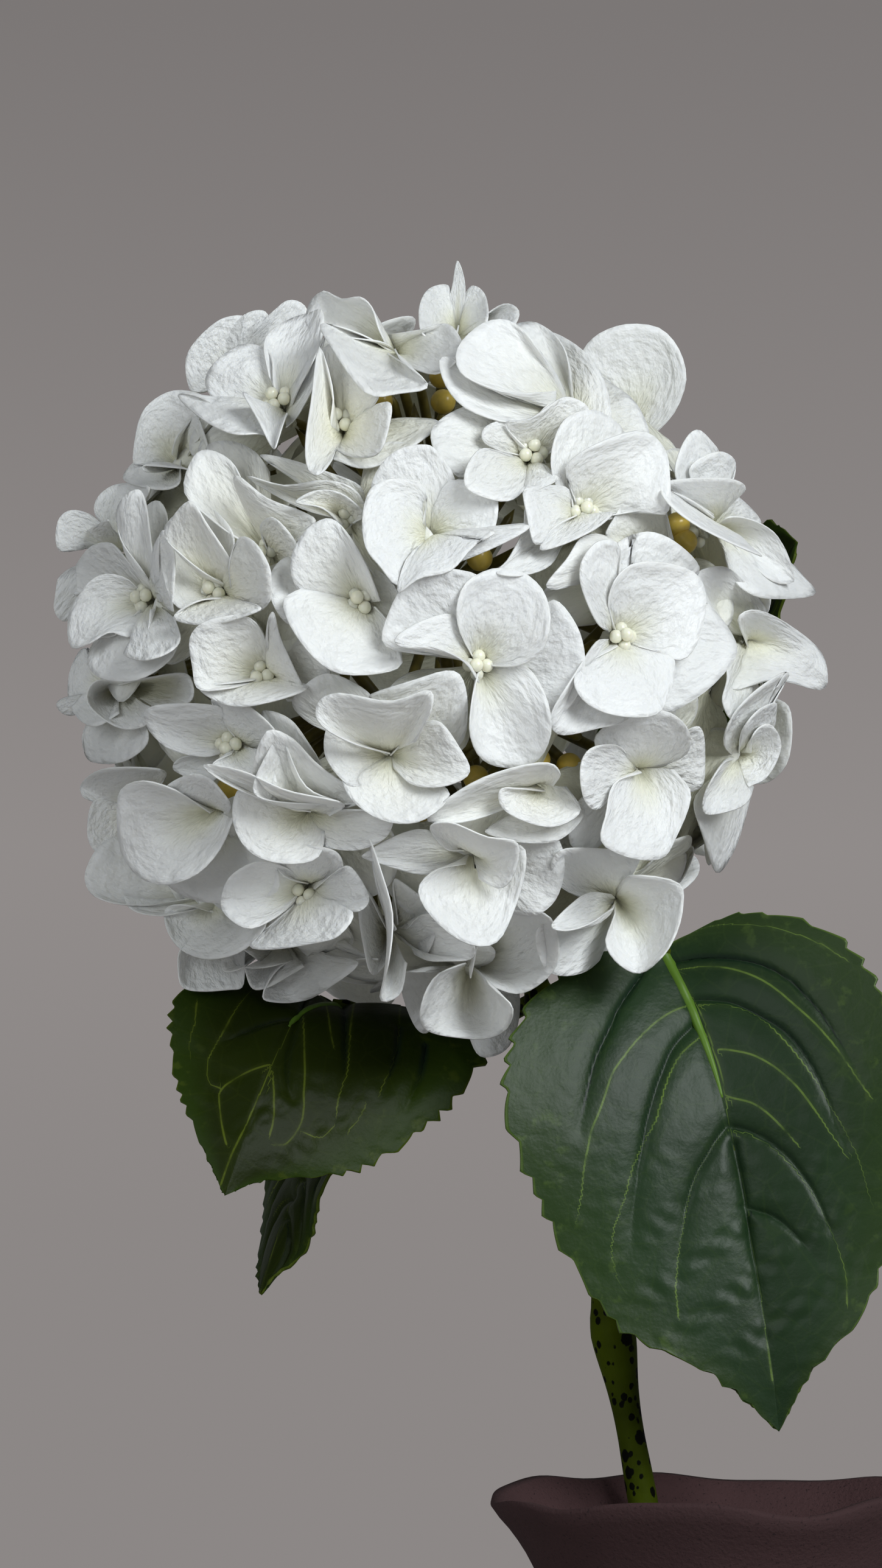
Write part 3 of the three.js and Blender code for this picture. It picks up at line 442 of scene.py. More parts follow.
        ((650, 1530, 6), (620, 1480, 12), (605, 1400, 16), (625, 1440, 18), (645, 1500, 18),
         (640, 1570, 20), (625, 1637, 20), (655, 1635, 18), (665, 1590, 12)),
        ((670, 1530, 2), (700, 1505, 8), (740, 1510, 10), (775, 1540, 12), (770, 1580, 12), (720, 1575, 10),
         (685, 1555, 4)),
        ((640, 1530, 0), (600, 1450, 6), (590, 1500, 8), (600, 1560, 8), (615, 1590, 8), (640, 1570, 4)),
        ((655, 1520, 0), (650, 1440, 4), (690, 1470, 6), (715, 1520, 6), (700, 1560, 4)),
    )),
    "bottom_far_left": ((430, 1600), (
        ((430, 1590, 2), (400, 1550, 8), (365, 1560, 10), (370, 1585, 10), (400, 1590, 8)),
        ((490, 1575, 2), (445, 1580, 8), (405, 1590, 10), (402, 1608, 12), (420, 1618, 12), (455, 1608, 10),
         (495, 1592, 6)),
        ((500, 1578, 0), (455, 1600, 8), (434, 1636, 11), (455, 1641, 12), (505, 1640, 12), (545, 1622, 12),
         (578, 1596, 10), (550, 1580, 4)),
        ((470, 1565, -2), (490, 1585, 4), (545, 1594, 6), (600, 1582, 7), (618, 1570, 6), (560, 1555, 0)),
    )),
}

# Florets whose middles lie past the head's edge, on its far side. The third number of each point
# is how far in front of the floret's middle it stands.
PAST_EDGE = {
    "shoulder_right": ((1040, 700), (
        ((1030, 700, 1), (985, 645, 4), (961, 600, 6), (963, 575, 7), (985, 553, 8), (1025, 541, 8),
         (1075, 548, 8), (1108, 580, 7), (1122, 625, 5), (1105, 675, 3), (1066, 717, 1)),
    )),
    "low_edge_right": ((1120, 1420), (
        ((1090, 1430, 2), (1040, 1450, 6), (1070, 1400, 8), (1125, 1390, 8), (1137, 1400, 7),
         (1115, 1445, 4), (1100, 1450, 2)),
    )),
}

# Florets whose caps of beads lie under their own petals, those with no petal in view beyond the ones
# listed, those without the two extra petals round the back, how much painted warm shade some take beside
# the rest as a creamy tint, and where the petals of some meet when that is to one side of the floret's
# middle.
COVERED = (
    "crown", "crown_left", "crown_right", "shoulder_left", "far_left", "peak", "right_shoulder",
    "upper_middle", "right_inner", "lower_right", "right", "right_low", "low_right", "low_middle",
    "lower_inner", "far_left_low", "far_left_rim", "low_inner_left", "below_middle", "bottom_left",
    "left_edge", "bottom", "bottom_inner", "bottom_far_left", "shoulder_right", "low_edge_right",
)
BARE = (
    "shoulder_right", "right_shoulder", "right_inner", "upper_right", "peak", "right", "right_low",
    "low_edge_right", "top_inner", "crown", "middle_right",
)
OPEN_BEHIND = ("right_shoulder", "right_inner", "right", "crown_right")
WARM_SHADE = {
    "top_inner": 1.0, "upper_inner": 1.0, "upper_mid_left": 0.9, "left_inner": 0.8, "right_inner": 0.9,
    "crown": 0.4, "upper_right_inner": 0.5, "lower_inner": 0.7, "mid_left": 0.6, "below_middle": 0.6,
    "low_inner_left": 0.5, "middle_left": 0.4, "crown_right": 0.4, "upper_right": 0.3, "low_middle": 0.3,
}
MEETING = {"crown_right": (945, 698), "bottom": (770, 1590)}

# Unopened buds that show between the florets: column and row.
BUDS = {
    "crown_a": (728, 660), "crown_b": (725, 618), "crown_c": (625, 660), "centre": (788, 917),
    "right_a": (1113, 862), "right_b": (1125, 890), "lower_a": (883, 1248), "lower_b": (935, 1258),
    "lower_c": (782, 1278), "lower_d": (690, 1330), "left": (377, 1295),
}

# How far in millimetres some of them stand out past the others.
BUD_LIFTS = {
    "left": 9.0, "right_a": 6.0, "right_b": 6.0, "centre": 4.0, "lower_a": 4.0, "lower_b": 4.0,
    "crown_b": 3.0,
}

# Dark gaps between the petals: column and row.
GAPS = (
    (1150, 905), (1180, 890), (1200, 920), (508, 690), (522, 660), (560, 735), (598, 775), (640, 640),
    (690, 650), (755, 908), (325, 1070), (590, 1045), (620, 1120), (905, 1225), (735, 1290), (1180, 1110),
)

# Leaves: column, row and depth of points along the leaf's stalk, its midrib and its two edges.
LEAVES = {
    "leaf_right_front": {
        "stalk": ((940, 1815, 31), (990, 1690, 22), (1086, 1556, 6)),
        "midrib": ((1086, 1556, 6), (1150, 1690, -1), (1200, 1860, -6), (1262, 2200, -9), (1280, 2352, -8)),
        "left": ((971, 1574, 1), (857, 1670, -9), (838, 1850, -15), (989, 2151, -14), (1175, 2262, -10)),
        "right": ((1235, 1502, 3), (1400, 1560, -7), (1492, 1780, -15), (1440, 2110, -16), (1330, 2258, -11)),
        "grooves": (
            ((1062, 1590), (1025, 1640), (1000, 1690), (975, 1750), (958, 1820), (950, 1860)),
            ((1140, 1685), (1105, 1720), (1080, 1780), (1062, 1850), (1048, 1930), (1038, 2010),
             (1037, 2040)),
            ((1195, 1850), (1165, 1890), (1140, 1940), (1122, 2010), (1112, 2080)),
            ((1110, 1580), (1160, 1572), (1230, 1578), (1290, 1605), (1340, 1655), (1380, 1710),
             (1410, 1765)),
            ((1140, 1640), (1200, 1645), (1255, 1670), (1310, 1715), (1350, 1780), (1375, 1850),
             (1390, 1880)),
            ((1205, 1850), (1250, 1865), (1300, 1905), (1340, 1960), (1365, 2020), (1375, 2040)),
            ((1222, 1985), (1265, 1995), (1310, 2030), (1345, 2075)),
            ((1205, 1880), (1222, 1950), (1232, 2030), (1246, 2110), (1256, 2190)),
        ),
        "prints": (
            ((1135, 1650), (1090, 1670), (1045, 1710), (1005, 1765), (985, 1830), (965, 1880), (955, 1960),
             (945, 2010)),
            ((1160, 1700), (1120, 1730), (1095, 1780), (1075, 1850), (1045, 1900), (1025, 1970),
             (1005, 2030), (1010, 2090), (1030, 2130)),
            ((1195, 1850), (1160, 1900), (1130, 1970), (1118, 2040), (1110, 2110), (1115, 2160)),
            ((1095, 1556), (1150, 1525), (1230, 1520), (1310, 1535), (1390, 1575)),
            ((1110, 1595), (1180, 1588), (1250, 1610), (1320, 1665), (1380, 1730), (1430, 1800)),
            ((1148, 1652), (1210, 1655), (1270, 1690), (1330, 1760), (1390, 1860), (1420, 1930),
             (1435, 1990)),
            ((1180, 1722), (1240, 1735), (1300, 1775), (1350, 1840), (1390, 1900)),
            ((1190, 1800), (1250, 1820), (1310, 1880)),
            ((1205, 1855), (1260, 1880), (1320, 1940), (1370, 2030), (1390, 2100), (1392, 2140)),
            ((1086, 1556), (1115, 1600), (1145, 1650), (1165, 1700), (1185, 1760), (1195, 1830),
             (1208, 1890), (1224, 1950), (1234, 2030), (1248, 2110), (1258, 2190), (1268, 2270)),
        ),
    },
    "leaf_left": {
        "stalk": ((884, 1640, 34), (800, 1682, 46), (680, 1692, 46), (560, 1650, 32)),
        "midrib": ((560, 1650, 32), (490, 1665, 16), (452, 1740, 4), (405, 1860, -4), (369, 1964, -8)),
        "left": ((440, 1612, 26), (300, 1625, 12), (284, 1740, 4), (315, 1843, -2), (352, 1925, -6)),
        "right": ((660, 1655, 36), (785, 1715, 26), (752, 1800, 14), (600, 1915, 4), (430, 1940, -4)),
        "grooves": (
            ((484, 1672), (450, 1678), (415, 1690), (385, 1704), (362, 1716)),
            ((502, 1640), (486, 1690), (474, 1740), (473, 1780), (480, 1810)),
            ((562, 1610), (566, 1680), (566, 1740), (562, 1790)),
            ((655, 1690), (650, 1740), (630, 1795)),
            ((700, 1720), (690, 1770), (665, 1820)),
        ),
        "prints": (
            ((425, 1618), (390, 1655), (365, 1700), (345, 1735), (340, 1765), (347, 1782), (362, 1790)),
            ((447, 1750), (420, 1756), (388, 1772), (364, 1792), (360, 1812), (365, 1850), (372, 1880)),
            ((322, 1650), (320, 1680), (312, 1710), (314, 1735)),
            ((498, 1670), (500, 1740), (499, 1800), (495, 1845), (472, 1878), (450, 1882)),
            ((530, 1625), (536, 1660), (545, 1720)),
            ((583, 1610), (580, 1660), (574, 1720), (571, 1760), (556, 1800), (552, 1830)),
            ((500, 1860), (515, 1868), (534, 1866), (546, 1850)),
            ((658, 1650), (654, 1700), (645, 1740), (635, 1770), (622, 1795)),
            ((600, 1820), (586, 1842), (572, 1858)),
            ((448, 1760), (450, 1800), (448, 1840), (442, 1866)),
            ((560, 1652), (492, 1660), (470, 1700), (447, 1750), (425, 1800), (400, 1858), (380, 1900),
             (364, 1945)),
        ),
    },
    "leaf_left_hanging": {
        "stalk": ((884, 1640, 38.5), (800, 1682, 56), (720, 1720, 62), (640, 1740, 60)),
        "midrib": ((640, 1740, 60), (560, 1800, 58), (510, 1900, 54), (465, 2010, 50), (428, 2126, 46)),
        "left": ((590, 1700, 92), (500, 1780, 96), (450, 1900, 86), (425, 2020, 70), (422, 2095, 54)),
        "right": ((640, 1790, 34), (590, 1880, 30), (530, 1960, 34), (495, 2055, 40), (450, 2095, 44)),
    },
    "leaf_back_right": {
        "stalk": ((966, 1885, 41), (1010, 1640, 72), (1060, 1400, 98)),
        "midrib": ((1060, 1400, 92), (1110, 1250, 108), (1180, 1100, 112), (1250, 980, 104), (1310, 890, 90)),
        "left": ((980, 1330, 104), (980, 1180, 124), (1050, 1020, 132), (1150, 900, 118), (1262, 858, 98)),
        "right": ((1105, 1395, 90), (1225, 1280, 96), (1255, 1150, 98), (1275, 1020, 92), (1305, 925, 88)),
    },
}


# ----- Settings -----
def tint(name, description, colour):
    return FloatVectorProperty(name=name, description=description, default=colour, size=3, subtype="COLOR")


class VaseSettings(PropertyGroup):
    """Sizes and colour of the vase."""

    lip_wave: FloatProperty(
        name="Lip wave", description="Rise and fall of the lip", default=0.0011, unit="LENGTH",
    )
    grain: FloatProperty(
        name="Grain", description="Depth of the clay's grain", default=0.00032, unit="LENGTH",
    )
    clay: tint("Clay", "Colour of the unglazed clay", (0.064, 0.034, 0.035))
    # The dark clay colour serves the real dark flecks and also the painted shade on the outer wall.
    clay_fleck_and_shade: tint("Dark clay", "Colour of the clay's dark flecks", (0.030, 0.018, 0.019))


class FlowerSettings(PropertyGroup):
    """Sizes and colours of the head."""

    thickness: FloatProperty(
        name="Petal thickness", description="Thickness of a petal", default=0.00034, unit="LENGTH",
    )
    bead: FloatProperty(name="Bead radius", description="Radius of a bead", default=0.00165, unit="LENGTH")
    bud: FloatProperty(name="Bud radius", description="Radius of a bud", default=0.0031, unit="LENGTH")
    spread: FloatProperty(
        name="Petal spread", description="Size of a petal beside its outline", default=1.05, min=0.5,
    )
    rows: IntProperty(name="Petal rows", description="Rings of faces from base to edge", default=14, min=6)
    columns: IntProperty(
        name="Petal columns", description="Faces around a petal's edge", default=30, min=12,
    )
    petal: tint("Petal", "Colour of a petal", (0.925, 0.935, 0.93))
    throat_and_shade: tint("Throat", "Colour at a floret's middle", (0.86, 0.845, 0.64))
    # The cream colour paints warm shade, standing for light bounced among the petals, on the inner florets.
    cream: tint("Cream", "Colour of the warmer florets", (0.92, 0.895, 0.76))
    pearl: tint("Bead", "Colour of the beads", (0.86, 0.82, 0.66))
    ochre: tint("Bud", "Colour of an unopened bud", (0.78, 0.56, 0.10))
    stalk: tint("Stalk", "Colour of the stalks inside the head", (0.10, 0.08, 0.014))


class LeafSettings(PropertyGroup):
    """Sizes and colours of the leaves and the stem."""

    thickness: FloatProperty(
        name="Leaf thickness", description="Thickness of a blade", default=0.0009, unit="LENGTH",
    )
    quilting: FloatProperty(
        name="Quilting", description="Swell between side veins", default=0.0016, unit="LENGTH",
    )
    blade: tint("Blade", "Colour of the blade", (0.010, 0.026, 0.008))
    # The shaded blade and shaded vein colours are darker copies of the front leaf's: painted shade under the
    # head, on blades that are also more olive.
    shaded: tint("Shaded blade", "Colour of the olive blades", (0.010, 0.016, 0.001))
    margin: tint("Margin", "Colour of the blade towards its edge", (0.022, 0.046, 0.004))
    # The groove colour is painted shade in the sunk veins.
    groove: tint("Groove", "Colour in the sunk veins", (0.003, 0.011, 0.013))
    vein: tint("Vein", "Colour of the printed veins", (0.10, 0.16, 0.028))
    shaded_vein: tint("Dull vein", "Colour of the printed veins on the olive blades", (0.075, 0.10, 0.010))
    rib: tint("Rib", "Colour of the raised foot of the midrib", (0.075, 0.15, 0.014))
    stem: tint("Stem", "Colour of the stem", (0.036, 0.050, 0.0016))
    speckle: tint("Speckle", "Colour of the stem's speckles", (0.0035, 0.004, 0.002))


class StageSettings(PropertyGroup):
    """Light, floor and backdrop."""

    key: FloatProperty(name="Key light", description="Power of the main light", default=17.0, unit="POWER")
    fill: FloatProperty(name="Fill light", description="Power of the fill light", default=5.2, unit="POWER")
    ambient: FloatProperty(name="Ambient", description="Strength of the light from all round", default=0.15)
    backdrop: tint("Backdrop", "Colour of the backdrop", (0.262, 0.243, 0.238))
    floor: tint("Floor", "Colour of the floor", (0.42, 0.40, 0.39))


# ----- From the picture to the object -----
def sight_line(column, row):
    """The direction from the viewer's eye through a column and row of the picture."""
    right = (column - MIDDLE[0]) / FOCAL
    up = (MIDDLE[1] - row) / FOCAL
    return np.array([right, math.cos(PITCH) - up * math.sin(PITCH), math.sin(PITCH) + up * math.cos(PITCH)])


def at_depth(column, row, depth):
    """Where a sight line reaches a depth, measured along +Y."""
    sight = sight_line(column, row)
    return EYE + sight * ((depth - EYE[1]) / sight[1])


def on_head(column, row, height=0.0, side=-1):
    """Where a sight line meets the sphere of that height over the caps of beads, or passes closest."""
    sight = sight_line(column, row)
    sight /= np.linalg.norm(sight)
    to_centre = HEAD_CENTRE - EYE
    nearest = to_centre @ sight
    half = math.sqrt(max((BEAD_RADIUS + height) ** 2 - to_centre @ to_centre + nearest**2, 0))
    return EYE + sight * (nearest + side * half)


def unit(vector):
    return vector / np.linalg.norm(vector)


def sideways(direction):
    """Two directions square to the given one and to each other."""
    away = np.array([0.0, 0.0, 1.0]) if abs(direction[2]) < 0.9 else np.array([1.0, 0.0, 0.0])
    side = unit(np.cross(direction, away))
    return side, np.cross(direction, side)


def through(points, shares):
    """Points on a smooth curve through others, at shares of its number of spans."""
    points = np.asarray(points, float)
    spans = len(points) - 1
    ends = [2 * points[0] - points[1], *points, 2 * points[-1] - points[-2]]
    padded = np.array(ends)
    place = np.clip(np.asarray(shares, float) * spans, 0, spans - 1e-9)
    first = place.astype(int)
    t = (place - first)[:, None]
    a, b, c, d = (padded[first + i] for i in range(4))
    return 0.5 * (2 * b + (c - a) * t + (2 * a - 5 * b + 4 * c - d) * t**2 + (3 * b - a - 3 * c + d) * t**3)


def evenly(points, shares, samples=200):
    """Points at even steps of length on a smooth curve through others."""
    fine = through(points, np.linspace(0, 1, samples))
    steps = np.linalg.norm(np.diff(fine, axis=0), axis=1)
    length = np.concatenate([[0], np.cumsum(steps)])
    at = np.asarray(shares) * length[-1]
    return np.stack([np.interp(at, length, fine[:, i]) for i in range(3)], axis=1)


# ----- Modelling -----
def pick(*objects):
    bpy.ops.object.select_all(action="DESELECT")
    for item in objects:
        item.select_set(True)
    bpy.context.view_layer.objects.active = objects[0]


def put_points(piece, points):
    piece.data.vertices.foreach_set("co", (np.asarray(points) * MM).astype(np.float32).ravel())
    piece.data.update()


def get_points(piece):
    flat = np.zeros(len(piece.data.vertices) * 3, np.float32)
    piece.data.vertices.foreach_get("co", flat)
    return flat.reshape(-1, 3) / MM


def keep_value(piece, name, values):
    layer = piece.data.attributes.new(name, "FLOAT", "POINT")
    layer.data.foreach_set("value", np.asarray(values, np.float32))


def sheet(rows, columns, place):
    """A grid whose points are placed by their share along its rows and its columns."""
    bpy.ops.object.select_all(action="DESELECT")
    bpy.ops.mesh.primitive_grid_add(x_subdivisions=rows, y_subdivisions=columns, size=2)
    piece = bpy.context.object
    flat = np.zeros(len(piece.data.vertices) * 3, np.float32)
    piece.data.vertices.foreach_get("co", flat)
    shares = np.clip((flat.reshape(-1, 3)[:, :2].astype(float) + 1) / 2, 0, 1)
    put_points(piece, place(shares[:, 0], shares[:, 1]))
    return piece


# A rod: the steps of its curve, and the share of its rows that closes each end.
ROD_STEPS = 60
ROD_CAP = 0.02


def tube(points, radii, rows=24, around=12):
    """A closed round rod along a curve, with its radii at even steps from foot to end."""
    steps = range(ROD_STEPS)
    line = evenly(points, np.linspace(0, 1, ROD_STEPS))
    heading = np.gradient(line, axis=0)
    heading /= np.linalg.norm(heading, axis=1)[:, None]

    def place(along, turn):
        ends = np.clip((along - ROD_CAP) / (1 - 2 * ROD_CAP), 0, 1)
        where = ends * (ROD_STEPS - 1)
        middle = np.stack([np.interp(where, steps, line[:, i]) for i in range(3)], axis=1)
        way = np.stack([np.interp(where, steps, heading[:, i]) for i in range(3)], axis=1)
        side = np.cross(way, [0.13, 0.99, 0.05])
        side /= np.linalg.norm(side, axis=1)[:, None]
        up = np.cross(way, side)
        up /= np.linalg.norm(up, axis=1)[:, None]
        radius = np.interp(ends, np.linspace(0, 1, len(radii)), radii)
        radius = np.where((along < 1e-4) | (along > 1 - 1e-4), 0, radius)[:, None]
        angle = (turn * 2 * math.pi)[:, None]
        return middle + radius * (np.cos(angle) * side + np.sin(angle) * up)

    piece = sheet(rows, around, place)
    close_seams(piece)
    return piece


def close_seams(piece):
    pick(piece)
    bpy.ops.object.mode_set(mode="EDIT")
    bpy.ops.mesh.select_all(action="SELECT")
    bpy.ops.mesh.remove_doubles(threshold=1e-6)
    bpy.ops.mesh.normals_make_consistent(inside=False)
    bpy.ops.object.mode_set(mode="OBJECT")


def join(pieces):
    pick(*pieces)
    if len(pieces) > 1:
        bpy.ops.object.join()
    return bpy.context.object


def thicken(piece, thickness):
    pick(piece)
    bpy.ops.object.modifier_add(type="SOLIDIFY")
    solid = piece.modifiers[-1]
    solid.thickness = thickness
    solid.offset = 0
    bpy.ops.object.modifier_apply(modifier=solid.name)


def finish_piece(piece, name, node):
    """Keeps a piece's place in its mesh, smooths it and ties it to the frame instead of a CAD node."""
    pick(piece)
    bpy.ops.object.transform_apply(location=True, rotation=True, scale=True)
    bpy.ops.object.shade_smooth()
    piece.name = name
    piece.data.name = name
    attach(piece, "root")
    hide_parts(node)


# ----- Materials -----
class Maker:
    """A material's nodes, laid out left to right as they are added."""

    def __init__(self, name):
        self.material = bpy.data.materials.new(name)
        self.material.use_nodes = True
        self.nodes = self.material.node_tree.nodes
        self.links = self.material.node_tree.links
        self.shader = self.nodes["Principled BSDF"]
        self.count = 0

    def node(self, kind, **settings):
        node = self.nodes.new(kind)
        self.count += 1
        node.location = (-1600 + 180 * (self.count % 8), 300 - 220 * (self.count // 8))
        for key, value in settings.items():
            setattr(node, key, value)
        return node

    def feed(self, socket, value):
        if isinstance(value, bpy.types.NodeSocket):
            self.links.new(value, socket)
        else:
            socket.default_value = value

    def math(self, operation, *values, clamp=False):
        node = self.node("ShaderNodeMath", operation=operation, use_clamp=clamp)
        for socket, value in zip(node.inputs, values):
            self.feed(socket, value)
        return node.outputs[0]

    def mix(self, share, first, second):
        node = self.node("ShaderNodeMix", data_type="RGBA")
        self.feed(node.inputs[0], share)
        self.feed(node.inputs[6], first)
        self.feed(node.inputs[7], second)
        return node.outputs[2]

    def step(self, value, low, high):
        node = self.node("ShaderNodeMapRange", interpolation_type="SMOOTHSTEP")
        self.feed(node.inputs[0], value)
        self.feed(node.inputs[1], low)
        self.feed(node.inputs[2], high)
        return node.outputs[0]

    def noise(self, scale, vector, detail=3.0, roughness=0.55):
        node = self.node("ShaderNodeTexNoise")
        self.feed(node.inputs["Vector"], vector)
        node.inputs["Scale"].default_value = scale
        node.inputs["Detail"].default_value = detail
        node.inputs["Roughness"].default_value = roughness
        return node.outputs["Fac"]

    def place(self):
        return self.node("ShaderNodeTexCoord").outputs["Object"]

    def own_map(self):
        return self.node("ShaderNodeUVMap", uv_map="UVMap").outputs["UV"]

    def apart(self, vector):
        node = self.node("ShaderNodeSeparateXYZ")
        self.feed(node.inputs[0], vector)
        return node.outputs

    def stretched(self, vector, scale):
        node = self.node("ShaderNodeMapping")
        self.feed(node.inputs["Vector"], vector)
        node.inputs["Scale"].default_value = scale
        return node.outputs[0]

    def line(self, name, near, wide, narrow):
        """A fine line where the named distance from it is least, kept to the points near it."""
        aside = self.math("ABSOLUTE", self.node("ShaderNodeAttribute", attribute_name=name).outputs["Fac"])
        return self.math("MULTIPLY", self.step(aside, wide, narrow), self.step(near, 0.80, 0.86))

    def bump(self, height, strength, distance, under=None):
        node = self.node("ShaderNodeBump")
        self.feed(node.inputs["Height"], height)
        node.inputs["Strength"].default_value = strength
        node.inputs["Distance"].default_value = distance
        if under is not None:
            self.feed(node.inputs["Normal"], under)
        return node.outputs[0]

    def finish(self, **sockets):
        for name, value in sockets.items():
            self.feed(self.shader.inputs[name.replace("_", " ")], value)
        return self.material


def rgba(colour):
    return (*colour, 1.0)


def scaled(colour, times, most=1.0):
    """The colour made lighter or darker, with no part of it above the most."""
    return rgba([min(part * times, most) for part in colour])


def clay_material(settings):
    make = Maker("stoneware")
    place = make.place()
    fine = make.noise(900, place, 4)
    broad = make.noise(38, place, 3)
    flecks = make.step(make.noise(1500, place, 2), 0.6, 0.72)
    base = make.mix(make.step(broad, 0.3, 0.75), rgba(settings.clay), scaled(settings.clay, 1.22))
    flecked = make.mix(flecks, base, rgba(settings.clay_fleck_and_shade))
    # The outer wall is painted darker with the dark clay colour: painted shade on the wall that the light
    # from above leaves dark.
    outside = make.node("ShaderNodeAttribute", attribute_name="outside").outputs["Fac"]
    colour = make.mix(make.math("MULTIPLY", outside, 0.42), flecked, rgba(settings.clay_fleck_and_shade))
    grain = make.bump(fine, 0.9, settings.grain)
    pores = make.bump(make.noise(2600, place, 2), 0.35, settings.grain * 0.5, grain)
    return make.finish(Base_Color=colour, Roughness=0.88, Specular_IOR_Level=0.12, Normal=pores)


# Petals deep in the head take the throat colour as painted shade: metres from the head's centre, and the
# largest share.
PAINTED_SHADE_STARTS = 0.089
PAINTED_SHADE_FULL = 0.078
DEEP_PAINTED_SHADE = 0.75


def petal_material(settings):
    """White with a creamy middle, a creamy tint of painted shade deep in the head and on the inner florets,
    and a paler rim of painted light, crumpled, softly folded and finely lined.
    """
    make = Maker("petal")
    spread = make.own_map()
    out = make.apart(spread)[0]
    near = make.step(out, 0.62, 0.05)
    tone = make.noise(26, make.place(), 2)
    pale = make.mix(tone, rgba(settings.petal), scaled(settings.petal, 1.03, 0.95))
    # Painted warm shade: the listed florets take the cream colour, most towards the petals' bases.
    warm_shade = make.node("ShaderNodeAttribute", attribute_name="warm_shade").outputs["Fac"]
    warm = make.mix(make.math("MULTIPLY", warm_shade, make.step(out, 1.3, 0.2)), pale, rgba(settings.cream))
    # Painted shade: the nearer a petal lies to the head's centre, the more it takes the throat colour.
    depth = make.node("ShaderNodeVectorMath", operation="DISTANCE")
    make.feed(depth.inputs[0], make.place())
    depth.inputs[1].default_value = HEAD_CENTRE * MM
    inner = make.step(depth.outputs["Value"], PAINTED_SHADE_STARTS, PAINTED_SHADE_FULL)
    deep = make.math("MULTIPLY", inner, DEEP_PAINTED_SHADE)
    shaded = make.mix(deep, warm, rgba(settings.throat_and_shade))
    cream = make.mix(make.math("MULTIPLY", near, 0.8), shaded, rgba(settings.throat_and_shade))
    # The rim is painted paler: painted light shining through the thin edge.
    rim = make.step(out, 0.955, 0.995)
    colour = make.mix(make.math("MULTIPLY", rim, 0.7), cream, (0.95, 0.95, 0.93, 1))
    folds = make.noise(4.0, make.stretched(spread, (2.0, 4.2, 1.0)), 3, 0.5)
    crumpled = make.bump(make.noise(95, make.place(), 2, 0.45), 0.6, 0.0022)
    creases = make.bump(folds, 0.75, 0.0016, crumpled)
    veins = make.noise(7.0, make.stretched(spread, (1.0, 34.0, 1.0)), 2, 0.5)
    lines = make.bump(veins, 0.12, 0.0002, creases)
    grain = make.bump(make.noise(1700, make.place(), 2), 0.12, 0.0001, lines)
    return make.finish(
        Base_Color=colour, Roughness=0.48, Subsurface_Weight=0.35, Subsurface_Radius=(1.0, 0.92, 0.78),
        Subsurface_Scale=0.0012, Specular_IOR_Level=0.4, Normal=grain,
    )


def bead_material(settings):
    make = Maker("bead")
    tone = make.noise(420, make.place(), 2)
    colour = make.mix(tone, rgba(settings.pearl), scaled(settings.pearl, 1.12, 0.9))
    return make.finish(
        Base_Color=colour, Roughness=0.28, Subsurface_Weight=0.5, Subsurface_Radius=(1.0, 0.85, 0.6),
        Subsurface_Scale=0.002, Coat_Weight=0.4, Coat_Roughness=0.15,
    )


def bud_material(settings):
    make = Maker("bud")
    tone = make.noise(330, make.place(), 3)
    colour = make.mix(make.step(tone, 0.3, 0.7), rgba(settings.ochre), scaled(settings.ochre, 1.2))
    rough = make.bump(make.noise(700, make.place(), 3), 0.25, 0.0002)
    return make.finish(Base_Color=colour, Roughness=0.3, Coat_Weight=0.3, Coat_Roughness=0.2, Normal=rough)


def stalk_material(settings):
    make = Maker("stalk")
    tone = make.noise(180, make.place(), 3)
    colour = make.mix(make.step(tone, 0.3, 0.7), rgba(settings.stalk), scaled(settings.stalk, 2.1))
    rough = make.bump(make.noise(900, make.place(), 3), 0.3, 0.0002)
    return make.finish(Base_Color=colour, Roughness=0.42, Normal=rough)


def stem_material(settings):
    """Olive plastic with round and run-together black spots."""
    make = Maker("stem")
    place = make.place()
    tone = make.noise(60, place, 3)
    base = make.mix(make.step(tone, 0.3, 0.7), rgba(settings.stem), scaled(settings.stem, 1.7))
    colour = base
    for scale, widest in ((270, 0.50), (470, 0.44)):
        cells = make.node("ShaderNodeTexVoronoi")
        make.feed(cells.inputs["Vector"], make.stretched(place, (1.0, 1.0, 0.8)))
        cells.inputs["Scale"].default_value = scale
        chance = make.apart(cells.outputs["Color"])[0]
        size = make.math("MULTIPLY", make.step(chance, 0.15, 0.95), widest)
        ragged = make.math("MULTIPLY", make.math("SUBTRACT", make.noise(900, place, 2), 0.5), 0.22)
        room = make.math("SUBTRACT", size, make.math("ADD", cells.outputs["Distance"], ragged))
        spot = make.step(room, 0.0, 0.06)
        colour = make.mix(spot, colour, rgba(settings.speckle))
    rough = make.bump(make.noise(420, place, 3), 0.4, 0.0004)
    return make.finish(Base_Color=colour, Roughness=0.6, Specular_IOR_Level=0.05, Normal=rough)


